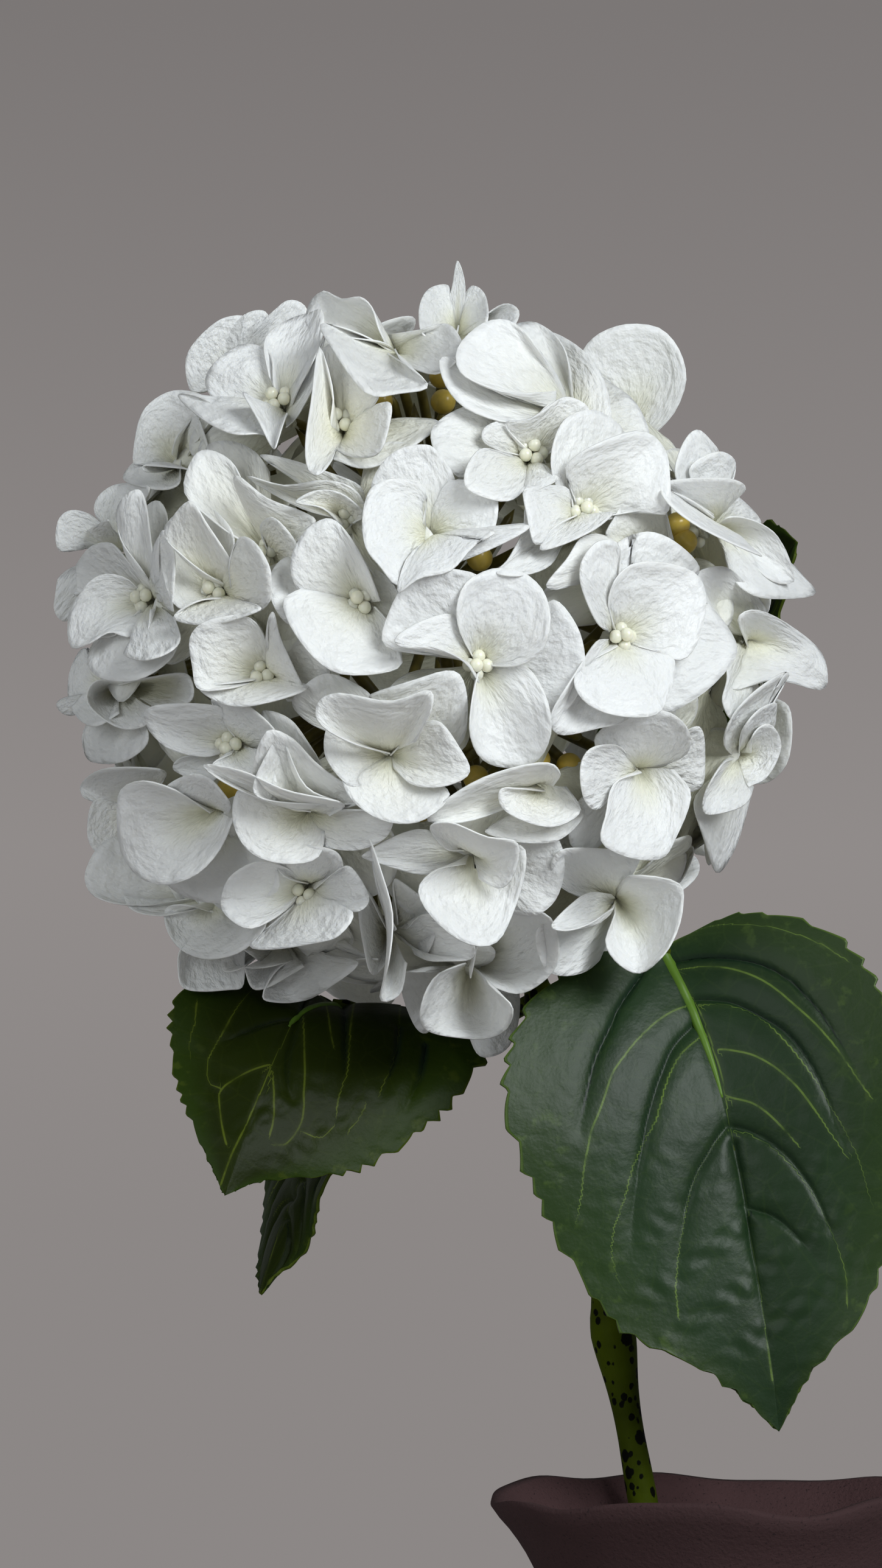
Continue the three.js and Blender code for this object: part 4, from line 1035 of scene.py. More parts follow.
def leaf_material(name, tone, vein, gloss, settings):
    """Sunk veins painted dark as shade in their hollows and thin printed ones from the blade's attributes,
    with a faint net between.
    """
    make = Maker(name)
    spread = make.own_map()
    across = make.math("SUBTRACT", make.math("MULTIPLY", make.apart(spread)[1], 2.0), 1.0)
    reach = make.math("ABSOLUTE", across)
    groove = make.node("ShaderNodeAttribute", attribute_name="groove").outputs["Fac"]
    printed = make.node("ShaderNodeAttribute", attribute_name="print").outputs["Fac"]
    place = make.place()
    uneven = make.noise(190, place, 3)
    # The sunk veins are painted dark, with a darker core: painted shade in the grooves.
    dark = make.step(groove, 0.80, 0.94)
    core = make.line("groove_side", groove, 0.55, 0.25)
    line = make.line("print_side", printed, 0.36, 0.12)
    soft = make.step(printed, 0.84, 1.0)
    net = make.node("ShaderNodeTexVoronoi", feature="DISTANCE_TO_EDGE")
    make.feed(net.inputs["Vector"], place)
    net.inputs["Scale"].default_value = 120.0
    threads = make.step(net.outputs["Distance"], 0.05, 0.0)
    mottled = make.noise(24, place, 3)
    fleck = make.step(make.noise(230, place, 4), 0.56, 0.70)
    edgeward = make.step(reach, 0.45, 1.0)
    blade = make.mix(make.step(mottled, 0.3, 0.75), rgba(tone), scaled(tone, 1.5))
    warmed = make.mix(make.math("MULTIPLY", edgeward, 0.55), blade, rgba(settings.margin))
    flecks = make.math("MULTIPLY", make.math("MULTIPLY", fleck, edgeward), 0.30)
    flecked = make.mix(flecks, warmed, rgba(vein))
    netted = make.mix(make.math("MULTIPLY", threads, 0.045), flecked, rgba(vein))
    sunk = make.mix(make.math("MULTIPLY", dark, 0.7), netted, rgba(settings.groove))
    cored = make.mix(make.math("MULTIPLY", core, 0.9), sunk, scaled(settings.groove, 0.3))
    glow = make.mix(make.math("MULTIPLY", soft, 0.10), cored, rgba(vein))
    veined = make.mix(make.math("MULTIPLY", line, make.step(uneven, 0.22, 0.60)), glow, rgba(vein))
    # A pale line along the blade's edge: a painted highlight.
    rim = make.math("MULTIPLY", make.step(reach, 0.985, 0.998), 0.5)
    colour = make.mix(rim, veined, scaled(vein, 1.3))
    wrinkles = make.bump(make.noise(170, place, 3), 0.35, 0.0007)
    grain = make.bump(make.noise(1300, place, 3), 0.25, 0.00018, wrinkles)
    return make.finish(Base_Color=colour, Roughness=0.4, Specular_IOR_Level=gloss, Normal=grain)


def rib_material(settings):
    """The raised pale green foot of the midrib."""
    make = Maker("leaf_rib")
    tone = make.noise(240, make.place(), 2)
    colour = make.mix(tone, rgba(settings.rib), scaled(settings.rib, 1.5))
    return make.finish(Base_Color=colour, Roughness=0.42, Specular_IOR_Level=0.3)


def floor_material(settings):
    make = Maker("floor")
    tone = make.noise(3, make.place(), 2)
    colour = make.mix(tone, rgba(settings.floor), scaled(settings.floor, 1.05))
    return make.finish(Base_Color=colour, Roughness=0.9)


# ----- Vase and stem -----
VASE_OUTSIDE = (
    (0.4, 0.0), (24, 0.0), (43.0, 0.0), (45.5, 3.0), (50, 22), (54.5, 44), (56, 66), (54, 88), (48.5, 112),
    (43.5, 134), (42, 150), (44, 164), (48.6, 175.0), (53.0, 182.0), (56.8, 186.6), (57.6, 188.2),
)
VASE_INSIDE = (
    (57.3, 189.4), (56.0, 190.2), (54.4, 189.8), (50.0, 184.6), (43.5, 175.0), (38.6, 152), (40.2, 131),
    (45.2, 110), (52.2, 66), (46.6, 24), (39.6, 8), (36, 5.0), (20, 4.8), (0.4, 4.8),
)
RING_COUNT = 54
RING_POINTS = 112

# The height at which the lip's waves begin, and how far up from there they are full.
WAVES_START = 158
WAVES_RISE = 30

# The stem's radius at its foot, how much it loses by the top, and each joint's swell and neck.
STEM_RADIUS = 4.2
STEM_TAPER = 1.0
JOINT_SWELL = 2.2
JOINT_NECK = 0.6

# A joint is thickest this far below its height, swells this far up and down from there, and has its
# neck this far up from there, this wide.
JOINT_DROP = 4.5
SWELL_UP = 7
SWELL_DOWN = 11
NECK_RISE = 10
NECK_WIDTH = 1.8


def lip_height(angle, height):
    """How far the lip's waves and its swell at one side lift each point, fading out down the wall."""
    share = np.clip((height - WAVES_START) / WAVES_RISE, 0, 1) ** 2
    near = np.cos(angle + math.pi / 2)
    ripple = 1.0 * np.sin(3 * angle + 0.6) + 0.55 * np.sin(7 * angle + 1.9) + 0.35 * np.sin(11 * angle)
    swell = 2.6 * np.exp(-(((angle + 0.80) / 0.28) ** 2)) - 1.4 * np.exp(-(((angle + 1.42) / 0.25) ** 2))
    return share * (ripple + swell + 0.8 * near**2)


class HYDRANGEA_OT_vase(Operator):
    """Turn the vase's wall ring by ring, then give its lip a slight wave"""

    bl_idname = "hydrangea.vase"
    bl_label = "Vase"

    def execute(self, context):
        settings = context.scene.hydrangea_vase
        steps = np.linspace(0, 1, RING_COUNT)
        outside = evenly([(r, 0, z) for r, z in VASE_OUTSIDE[2:]], steps)
        inside = evenly([(r, 0, z) for r, z in VASE_INSIDE], steps)
        foot = [(r, 0, z) for r, z in VASE_OUTSIDE[:2]]
        rings = np.array([*foot, *outside, *inside])
        bpy.ops.object.select_all(action="DESELECT")
        bpy.ops.mesh.primitive_circle_add(
            vertices=RING_POINTS, radius=rings[0][0] * MM, location=(0, 0, 0)
        )
        vase = context.object
        bpy.ops.object.mode_set(mode="EDIT")
        bpy.ops.mesh.select_all(action="SELECT")
        for before, ring in zip(rings, rings[1:]):
            rise = (ring[2] - before[2]) * MM
            grow = ring[0] / before[0]
            bpy.ops.mesh.extrude_region_move(TRANSFORM_OT_translate={"value": (0, 0, rise)})
            bpy.ops.transform.resize(value=(grow, grow, 1), center_override=(0, 0, ring[2] * MM))
        bpy.ops.mesh.edge_face_add()
        bpy.ops.mesh.select_all(action="DESELECT")
        bpy.ops.mesh.select_non_manifold()
        bpy.ops.mesh.edge_face_add()
        bpy.ops.mesh.select_all(action="SELECT")
        bpy.ops.mesh.normals_make_consistent(inside=False)
        bpy.ops.object.mode_set(mode="OBJECT")
        points = get_points(vase)
        angle = np.arctan2(points[:, 1], points[:, 0])
        points[:, 2] += settings.lip_wave / MM * lip_height(angle, points[:, 2])
        put_points(vase, points)
        # How far each point faces outward, kept so that the material can paint shade on the outer wall.
        facing = np.zeros(len(points) * 3, np.float32)
        vase.data.vertices.foreach_get("normal", facing)
        facing = facing.reshape(-1, 3)
        outward = facing[:, 0] * np.cos(angle) + facing[:, 1] * np.sin(angle)
        keep_value(vase, "outside", np.clip(2 * outward, 0, 1))
        vase.data.materials.append(clay_material(settings))
        finish_piece(vase, "vase_clay", "vase")
        return {"FINISHED"}


def stem_points():
    return [STEM_FOOT, *(at_depth(*place) for place in STEM_LINE)]


class HYDRANGEA_OT_stem(Operator):
    """Draw the speckled stem with its swollen leaf joints"""

    bl_idname = "hydrangea.stem"
    bl_label = "Stem"

    def execute(self, context):
        shares = np.linspace(0, 1, 90)
        line = evenly(stem_points(), shares)
        radii = STEM_RADIUS - STEM_TAPER * shares
        for height in JOINT_HEIGHTS:
            above = line[:, 2] - height + JOINT_DROP
            swell = np.exp(-((above / np.where(above > 0, SWELL_UP, SWELL_DOWN)) ** 2))
            neck = np.exp(-(((above - NECK_RISE) / NECK_WIDTH) ** 2))
            radii = radii + JOINT_SWELL * swell - JOINT_NECK * neck
        radii = radii + 0.12 * np.sin(shares * 41) + 0.08 * np.sin(shares * 97)
        stem = tube(line, radii, rows=150, around=28)
        stem.data.materials.append(stem_material(context.scene.hydrangea_leaf))
        finish_piece(stem, "stem_speckled", "stem")
        return {"FINISHED"}


# ----- Leaves -----
LEAF_STALK_RADII = (2.3, 1.9, 1.9, 1.7, 1.2, 0.6)
RIB_RADII = (1.8, 1.5, 1.1, 0.4)
RIB_SINK = 0.25
STALK_BEHIND = 1.7

# A blade: the teeth along each edge, their height and how far they start inside the edge, the depths
# of its sunk veins, of the valleys that they lie in and of the trough under the rib, and the heights
# of its edge's slow and quick waves.
TEETH = 21
TOOTH_HEIGHT = 2.3
TOOTH_START = 1.1
VEIN_DEPTH = 0.75
VALLEY_DEPTH = 0.9
TROUGH_DEPTH = 0.7
SLOW_WAVE = 1.3
QUICK_WAVE = 0.7


def in_picture(points):
    """The column and row at which each point shows."""
    away = points - EYE
    depth = away[:, 1] * math.cos(PITCH) + away[:, 2] * math.sin(PITCH)
    height = away[:, 2] * math.cos(PITCH) - away[:, 1] * math.sin(PITCH)
    return np.stack([MIDDLE[0] + FOCAL * away[:, 0] / depth, MIDDLE[1] - FOCAL * height / depth], axis=1)


def nearness(points, lines, fade, reach=8.0):
    """How near each point is to any of the lines: 1 on one, 0 from the reach outwards. Then its distance
    from that line, negative on one side of it."""
    best = np.full(len(points), reach)
    aside = np.full(len(points), reach)
    for line in lines:
        total = len(line) - 1
        for order, (start, end) in enumerate(zip(line, line[1:])):
            span = end - start
            length = max(float(span @ span), 1e-9)
            along = np.clip((points - start) @ span / length, 0, 1)
            gap = np.linalg.norm(points - start - along[:, None] * span, axis=1)
            done = (order + along) / total
            faded = gap + fade * np.clip((done - 0.4) / 0.6, 0, 1) ** 2
            side = np.sign((points - start) @ np.cross(span, [0.0, 1.0, 0.0]))
            aside = np.where(faded < best, gap * side, aside)
            best = np.minimum(best, faded)
    return 1 - best / reach, aside


def side_veins(surface, count, start, sweep):
    """Veins from the midrib towards both edges, bending to the tip, for a leaf that is mostly hidden."""
    lines = []
    for i in range(count):
        for side in (-1, 1):
            first = start + (0.78 - start) * (i + 0.25 * side + 0.25) / count
            steps = np.linspace(0, 1, 9)
            along = first + sweep * steps**1.5
            lines.append(surface(np.clip(along, 0, 0.97), 0.5 + side * 0.45 * steps))
    return lines


class Blade:
    """A leaf's surface between its midrib and its two edges."""

    def __init__(self, lines, settings, seed):
        rng = np.random.default_rng(seed)
        self.settings = settings
        self.midrib = [at_depth(*p) for p in lines["midrib"]]
        base, tip = self.midrib[0], self.midrib[-1]
        self.edges = [[base, *(at_depth(*p) for p in lines[side]), tip] for side in ("left", "right")]
        self.phases = rng.uniform(0, 2 * math.pi, 6)
        self.teeth = rng.uniform(0.6, 1.25, 64)
        shares = np.linspace(0, 1, 130)
        rows, columns = np.meshgrid(shares, shares)
        rows, columns = rows.ravel(), columns.ravel()
        points = self.plain(rows, columns)
        seen = in_picture(points)
        if "grooves" in lines:
            self.grooves = [self.laid(line, points, seen) for line in lines["grooves"]]
            self.prints = [self.laid(line, points, seen) for line in lines["prints"]]
        else:
            self.grooves = side_veins(self.plain, 5, 0.04, 0.34)
            self.prints = [*side_veins(self.plain, 5, 0.07, 0.25), evenly(self.midrib, np.linspace(0, 1, 12))]

    def laid(self, line, points, seen):
        """A line read off the picture, laid on the surface."""
        flat = [(column, row, 0) for column, row in line]
        marks = through(flat, np.linspace(0, 1, 5 * len(line)))[:, :2]
        found = np.array([points[np.argmin(np.linalg.norm(seen - mark, axis=1))] for mark in marks])
        for _ in range(3):
            found[1:-1] = (found[:-2] + 2 * found[1:-1] + found[2:]) / 4
        return found

    def frame(self, along, across):
        """The midrib's points, the edge's on that side, the way the back faces, and the width."""
        middle = evenly(self.midrib, along)
        left = evenly(self.edges[0], along)
        right = evenly(self.edges[1], along)
        further = evenly(self.midrib, np.clip(along + 0.01, 0, 1))
        nearer = evenly(self.midrib, np.clip(along - 0.01, 0, 1))
        facing = np.cross(right - left, further - nearer)
        facing /= np.maximum(np.linalg.norm(facing, axis=1), 1e-6)[:, None]
        edge = np.where(across[:, None] < 0, left, right)
        return middle, edge, facing, np.linalg.norm(right - left, axis=1)

    def plain(self, along, side):
        """The surface without its teeth, veins and waves."""
        across = side * 2 - 1
        middle, edge, _, _ = self.frame(along, across)
        return middle + (edge - middle) * np.abs(across)[:, None]

    def __call__(self, along, side):
        """The surface with its teeth, veins and waves."""
        across = side * 2 - 1
        reach = np.abs(across)
        middle, edge, facing, width = self.frame(along, across)
        number = along * TEETH + 0.35 * np.sin(along * 31 + self.phases[5]) + 0.4 * (across > 0)
        saw = np.mod(number, 1.0)
        tooth = np.where(saw < 0.82, saw / 0.82, (1 - saw) / 0.18) * self.teeth[number.astype(int) % 64]
        rim = np.clip((reach - 0.86) / 0.14, 0, 1) ** 2
        fade = np.clip((1 - along) / 0.08, 0, 1) * np.clip(along / np.where(across > 0, 0.3, 0.06), 0, 1)
        half = np.maximum(width / 2, 1)
        grow = 1 + (TOOTH_HEIGHT * tooth - TOOTH_START) / half * rim * fade * 0.85
        flat = middle + (edge - middle) * (reach * grow)[:, None]
        deep, _ = nearness(flat, self.grooves, 2.2)
        body = np.clip(width / 50, 0, 1) * np.clip(1 - reach, 0, 1) ** 0.4
        inside = np.clip((1.02 - reach) / 0.2, 0, 1)
        channel = VEIN_DEPTH * np.clip((deep - 0.80) / 0.20, 0, 1) ** 1.6
        valley = VALLEY_DEPTH * np.clip((deep - 0.2) / 0.8, 0, 1) ** 2
        groove = -(channel + valley) * inside
        trough = -TROUGH_DEPTH * np.exp(-((reach / 0.04) ** 2)) * (1 - along)
        up, over = flat[:, 2], flat[:, 0]
        pucker = np.sin(1.0 * up + 0.4 * over + 1.3 * np.sin(over / 3.4 + self.phases[2]))
        pucker += np.sin(0.9 * over - 0.35 * up + 1.2 * np.sin(up / 3.1 + self.phases[3]))
        pucker *= np.clip(0.35 + 0.8 * np.sin(0.31 * over - 0.42 * up + self.phases[4]), 0, 1)
        tipward = np.clip((along - 0.38) / 0.3, 0, 1)
        bumps = (0.03 + 0.13 * tipward) * pucker * body * self.settings.quilting / (1.6 * MM)
        wave = SLOW_WAVE * np.sin(along * 7 + self.phases[0]) * reach**2
        wave += QUICK_WAVE * np.sin(along * 15 + self.phases[1]) * reach**3
        height = groove + trough + bumps + wave * np.clip(width / 50, 0, 1)
        return flat - facing * height[:, None]


class HYDRANGEA_OT_leaves(Operator):
    """Shape each leaf between its midrib and edges, with quilted fields and a toothed edge"""

    bl_idname = "hydrangea.leaves"
    bl_label = "Leaves"

    def execute(self, context):
        settings = context.scene.hydrangea_leaf
        greens = {
            "leaf_right_front": leaf_material("leaf_front", settings.blade, settings.vein, 0.24, settings),
            # The other leaves take the darker colours as painted shade under the head.
            "other": leaf_material("leaf_shaded", settings.shaded, settings.shaded_vein, 0.08, settings),
        }
        stalk_green = stem_material(settings)
        stalk_green.name = "leaf_stalk"
        rib_green = rib_material(settings)
        for seed, (name, lines) in enumerate(LEAVES.items()):
            surface = Blade(lines, settings, seed + 3)
            fine = 1.0 if "grooves" in lines else 0.6
            blade = sheet(int(210 * fine), int(150 * fine), surface)
            close_seams(blade)
            for mark, lines_on, fade in (("groove", surface.grooves, 1.6), ("print", surface.prints, 0.25)):
                near, aside = nearness(get_points(blade), lines_on, fade)
                keep_value(blade, mark, near)
                keep_value(blade, f"{mark}_side", aside)
            thicken(blade, settings.thickness)
            blade.data.materials.append(greens.get(name, greens["other"]))
            path = [at_depth(*p) for p in lines["stalk"]]
            back = surface.frame(np.array([0.03, 0.2, 0.45]), np.zeros(3))
            path.extend(back[0] + back[2] * STALK_BEHIND)
            stalk = tube(path, LEAF_STALK_RADII, rows=40, around=14)
            stalk.data.materials.append(stalk_green)
            front = surface(np.linspace(0.004, 0.34, 12), np.full(12, 0.5))
            sunk = surface.frame(np.full(12, 0.2), np.zeros(12))[2] * RIB_SINK
            rib = tube(front - sunk, RIB_RADII, rows=40, around=10)
            rib.data.materials.append(rib_green)
            leaf = join([blade, stalk, rib])
            finish_piece(leaf, f"{name}_blade", name)
        return {"FINISHED"}


# ----- Flower head -----
LIFT = 0.85  # share of an outline's height that a petal keeps
HANG = 15.0  # how far the lowest petals come towards the viewer
HANG_START = 1470  # the picture's row below which they come forward
HANG_ROWS = 110  # how many rows further down they come all the way
FAR_EDGE = 0.62  # florets that face less along the view than this get petals round the back
GAP_DEPTH = 42.0  # florets that lie deeper than this may show through the gaps
WIDEST_OPENING = math.radians(80)

# A petal: points round its rim, how many rims, each smoother, it passes through from edge to base,
# and the heights of its sway, crinkle, quilting and folds.
RIM_POINTS = 41
SOFT_LEVELS = 7
SWAY = 1.2
CRINKLE = 0.42
QUILT = 0.34
FOLDS = 0.38

# The two extra petals round the back of a floret: their turns, reach and depth.
FAR_TURNS = (-0.55, 0.5)
FAR_REACH = 31.0
FAR_DEPTH = 4.5

# A floret: depths below its middle, the heights of its beads and how much painted warm shade most florets
# take.
PETAL_FOOT = 1.2
COLLAR_DEPTHS = (5.5, 3.6, 1.9)
COLLAR_FOOT = 5.8
COLLAR_RADII = (0.9, 1.1, 2.2, 2.4)
OPEN_BEADS = 3.4
SUNK_BEADS = -4.6
COMMON_WARM_SHADE = 0.15

# Stalks: how far above the stem they branch, how many branches there are and how every other one
# leans, distances from the head's centre, and radii from foot to end.
ROOT_RISE = 4.0
BRANCH_COUNT = 8
BRANCH_LEANS = (0.35, -0.55)
BRANCH_REACH = 34.0
BRANCH_RADII = (2.4, 1.8, 1.5)
STALK_RADII = (1.7, 1.35, 1.25)
FORK_DEPTH = 62.0
FORK_TOP = 60.3
FORK_RADII = (0.9, 0.9)
PASSING_DEPTH = 71.0
PASSING_SPREAD = 8.0


def softened(rim):
    """The rim, then copies of it each smoother than the last, with its two ends held."""
    levels = [rim]
    for level in range(1, SOFT_LEVELS):
        line = levels[-1].copy()
        for _ in range(4 * level):
            line[1:-1] = line[1:-1] / 2 + (line[:-2] + line[2:]) / 4
        levels.append(line)
    return np.array(levels)


def petal(base, outline, outward, rng, flower):
    """A petal spread from its base to an outline: early rise, soft ruffles and a rolled edge."""
    middle = np.mean(outline, axis=0)
    outline = [middle + (point - middle) * flower.spread for point in outline]
    phases = rng.uniform(0, 2 * math.pi, 6)
    ruffles = rng.uniform(2.2, 3.6)
    roll = rng.uniform(-0.9, 0.6)
    rim = through(np.asarray(outline), np.linspace(0, 1, RIM_POINTS))
    size = np.linalg.norm(rim - base, axis=1).mean() / 24
    levels = softened(rim)
    heights = (levels - base) @ outward

    def place(out, around):
        column = around * (RIM_POINTS - 1)
        left = np.minimum(column.astype(int), RIM_POINTS - 2)
        share = (column - left)[:, None]
        level = (1 - out) * (SOFT_LEVELS - 1)
        low = np.minimum(level.astype(int), SOFT_LEVELS - 2)
        blend = (level - low)[:, None]

        def sample(table):
            lower = table[low, left] * (1 - share) + table[low, left + 1] * share
            upper = table[low + 1, left] * (1 - share) + table[low + 1, left + 1] * share
            return lower * (1 - blend) + upper * blend

        arm = sample(levels) - base
        lift = sample(heights[..., None])[:, 0]
        inside = np.sin(math.pi * around)
        rise = (0.4 * size + 0.2 * lift) * np.sin(math.pi * out**0.75) * inside
        sway = SWAY * size * out**2 * np.sin(ruffles * math.pi * around + phases[0])
        crinkle = CRINKLE * size * out**3 * np.sin(4.1 * ruffles * around + phases[1])
        quilt = QUILT * np.sin(9 * around + 5 * out + phases[2]) * np.sin(11 * out + phases[3]) * inside
        folds = FOLDS * np.sin(17 * around + phases[4] + 3 * out) * out * (1.25 - out) * inside
        edge = -roll * size * np.clip((out - 0.78) / 0.22, 0, 1) ** 2
        height = rise + sway + crinkle + quilt + folds + edge
        return base + arm * out[:, None] + outward * height[:, None]

    return sheet(flower.rows, flower.columns, place)


def spread_outline(centre, outward, angle, reach, rise, rng):
    """An outline for a petal that the picture hides."""
    side, up = sideways(outward)
    half = rng.uniform(33, 42)
    tip = rng.uniform(0.92, 1.08)
    lean = rng.uniform(-9, 9)
    tilt = rng.uniform(-3.5, 3.5)
    marks = (
        (0.25, -30, 1), (0.60, -half, 5), (0.86, -half * 0.78, 8), (tip, lean - 12, 10),
        (tip, lean + 10, 10), (0.86, half * 0.78, 8), (0.60, half, 5), (0.25, 30, 1),
    )
    points = []
    for share, turn, height in marks:
        way = angle + math.radians(turn)
        arm = (side * math.cos(way) + up * math.sin(way)) * reach * share
        lift = height * rise + tilt * turn / 40 + rng.uniform(-0.8, 0.8)
        points.append(centre + arm + outward * lift)
    return points


def ring_of_petals(centre, outward, reach, rise, rng):
    """Four petals of a floret that the picture hides, over three that close the gaps round it."""
    first = rng.uniform(0, 2 * math.pi)
    outlines = []
    for i in range(4):
        angle = first + i * math.pi / 2 + rng.uniform(-0.2, 0.2)
        raised = centre + outward * (1.6 if i % 2 else -0.6)
        outlines.append(spread_outline(raised, outward, angle, reach * rng.uniform(0.88, 1.08), rise, rng))
    for i in range(3):
        angle = first + math.pi / 4 + i * 2 * math.pi / 3 + rng.uniform(-0.25, 0.25)
        outlines.append(spread_outline(centre - outward * 5.5, outward, angle, reach * 1.2, 0.1, rng))
    return outlines


def far_petals(name, centre, outward, rng):
    """Two petals that lie round the back of a floret near the head's edge."""
    side, up = sideways(outward)
    back = math.atan2(up[1], side[1])
    turns = FAR_TURNS if abs(outward[1]) < FAR_EDGE and name not in OPEN_BEHIND else ()
    below = centre - outward * FAR_DEPTH
    return [spread_outline(below, outward, back + turn, FAR_REACH, 0.15, rng) for turn in turns]


def hides(outline, spots):
    """Whether a petal would lie in front of any of the spots, seen from the viewer's side."""
    rim = in_picture(np.array(outline))
    after = np.roll(rim, -1, axis=0)
    for column, row in spots:
        crossed = (rim[:, 1] > row) != (after[:, 1] > row)
        run = np.where(crossed, after[:, 1] - rim[:, 1], 1)
        crossing = rim[:, 0] + (row - rim[:, 1]) * (after[:, 0] - rim[:, 0]) / run
        if np.count_nonzero(crossed & (crossing > column)) % 2:
            return True
    return False


def open_angles(centre, outward, outlines, past_edge):
    """The directions round a floret in which a petal is missing."""
    side, up = sideways(outward)
    taken = []
    for outline in outlines:
        arm = np.mean(outline, axis=0) - centre
        taken.append(math.atan2(arm @ up, arm @ side))
    added = []
    while len(taken) < 9:
        ordered = sorted(taken) or [0.4]
        gaps = [(b - a, a) for a, b in zip(ordered, [*ordered[1:], ordered[0] + 2 * math.pi])]
        width, start = max(gaps)
        if width < WIDEST_OPENING and len(taken) >= 4:
            break
        choice = start + width / 2
        taken.append(math.atan2(math.sin(choice), math.cos(choice)))
        arm = side * math.cos(choice) + up * math.sin(choice)
        if not (past_edge and arm[1] < 0.25):
            added.append(taken[-1])
    return added


def bead_cap(centre, outward, height, flower, rng):
    """Four or five beads pressed together in the floret's middle, under one more."""
    side, up = sideways(outward)
    turn = rng.uniform(0, 6.28)
    count = 4 if rng.random() < 0.5 else 5
    radius = flower.bead / MM
    beads = []
    for i in range(count + 1):
        angle = turn + 2 * math.pi * i / count + rng.uniform(-0.15, 0.15)
        arm = (side * math.cos(angle) + up * math.sin(angle)) * radius * (1.25 if count == 4 else 1.45)
        spot = centre + arm + outward * (height + rng.uniform(-0.25, 0.25))
        if i == count:
            spot = centre + arm * 0.25 + outward * (height + radius * 1.05)
        bpy.ops.mesh.primitive_uv_sphere_add(segments=9, ring_count=6, radius=radius * MM, location=spot * MM)
        beads.append(bpy.context.object)
    return beads


def build_floret(
    name, centre, outlines, looks, flower, seed, reach=24.0, rise=0.25, under=3.5, covered=False
):
    """A floret of outlined petals, plain ones wherever the outlines leave it open, beads and a collar."""
    rng = np.random.default_rng(seed)
    outward = unit(centre - HEAD_CENTRE)
    middle = on_head(*MEETING[name]) if name in MEETING else centre
    base = middle - outward * PETAL_FOOT
    below = centre - outward * under
    if outlines:
        angles = open_angles(centre, outward, outlines, name in BARE)
        behind = [spread_outline(below, outward, angle, reach, rise, rng) for angle in angles]
        behind.extend(far_petals(name, centre, outward, rng))
    else:
        behind = ring_of_petals(below, outward, reach, rise, rng)
    clear = [*BUDS.values(), *GAPS] if centre[1] < GAP_DEPTH else []
    if outlines:
        clear.extend(spot for spot, _ in FACING.values())
    behind = [outline for outline in behind if not hides(outline, clear)]
    outlines = [*outlines, *behind]
    petals = [petal(base, outline, outward, rng, flower) for outline in outlines]
    whole = join(petals)
    close_seams(whole)
    thicken(whole, flower.thickness)
    keep_value(whole, "warm_shade", np.full(len(whole.data.vertices), WARM_SHADE.get(name, COMMON_WARM_SHADE)))
    whole.data.materials.append(looks["petal"])
    height = SUNK_BEADS if covered or name in COVERED else OPEN_BEADS
    beads = bead_cap(middle, outward, height, flower, rng)
    for bead in beads:
        bead.data.materials.append(looks["bead"])
    neck = [centre - outward * depth for depth in COLLAR_DEPTHS]
    collar = tube(neck, COLLAR_RADII, rows=8, around=8)
    collar.data.materials.append(looks["petal"])
    return join([whole, *beads, collar])


def spread_hidden(seen, count):
    """Spreads the florets that the picture hides evenly over the rest of the head."""
    keep_out = unit(evenly(stem_points(), [0.93])[0] - HEAD_CENTRE)
    kept = [*seen, keep_out]
    turn = math.pi * (3 - math.sqrt(5))
    free = []
    for i in range(count):
        lean = 1 - 1.6 * (i + 0.5) / count
        side = math.sqrt(1 - lean**2)
        free.append(unit(np.array([side * math.cos(turn * i), lean, side * math.sin(turn * i)])))
    for _ in range(150):
        for i, point in enumerate(free):
            push = np.zeros(3)
            for other in [*kept, *free]:
                away = point - other
                distance = np.linalg.norm(away)
                if 0 < distance < 1:
                    push += away * (0.5 / distance) ** 4 / distance
            strength = np.linalg.norm(push)
            if strength > 1:
                push /= strength
            free[i] = unit(point + push * 0.04)
    return free


def grouped(orders, places, pairs):
    """Pairs each of the first florets in a list with its nearest neighbour, then leaves the rest."""
    left = list(orders)
    groups = []
    while left:
        first = left.pop(0)
        if len(groups) >= pairs:
            groups.append([first])
            continue
        left.sort(key=lambda other: np.linalg.norm(places[other] - places[first]))
        groups.append([first, left.pop(0)])
    return groups


def seen_florets():
    near = [(name, on_head(*spot), petals) for name, (spot, petals) in FACING.items()]
    past = [(name, on_head(*spot, side=1), petals) for name, (spot, petals) in PAST_EDGE.items()]
    return [*near, *past]


def hung(column, row, point):
    """Brings a point low on the head nearer to the viewer, where petals hang free."""
    sight = unit(sight_line(column, row))
    return point - sight * HANG * min(max((row - HANG_START) / HANG_ROWS, 0), 1)


def on_radius(point, radius):
    return HEAD_CENTRE + unit(point - HEAD_CENTRE) * radius


def laid_out(name, centre, petals):
    """A floret's outlines as points: on the head, or level with the floret where it is past the edge."""
    if name in PAST_EDGE:
        return [[at_depth(*mark[:2], centre[1] - mark[2]) for mark in marks] for marks in petals]
    return [[hung(*mark[:2], on_head(*mark[:2], LIFT * mark[2])) for mark in marks] for marks in petals]


def back_florets(seen):
    """The directions and places of the florets that the picture hides, and how they share stalks."""
    ways = [unit(spot - HEAD_CENTRE) for _, spot, _ in seen]
    hidden = spread_hidden(ways, FLORET_COUNT - len(seen))
    places = [HEAD_CENTRE + direction * BEAD_RADIUS for direction in hidden]
    return hidden, places, grouped(range(len(places)), places, PAIR_COUNT)


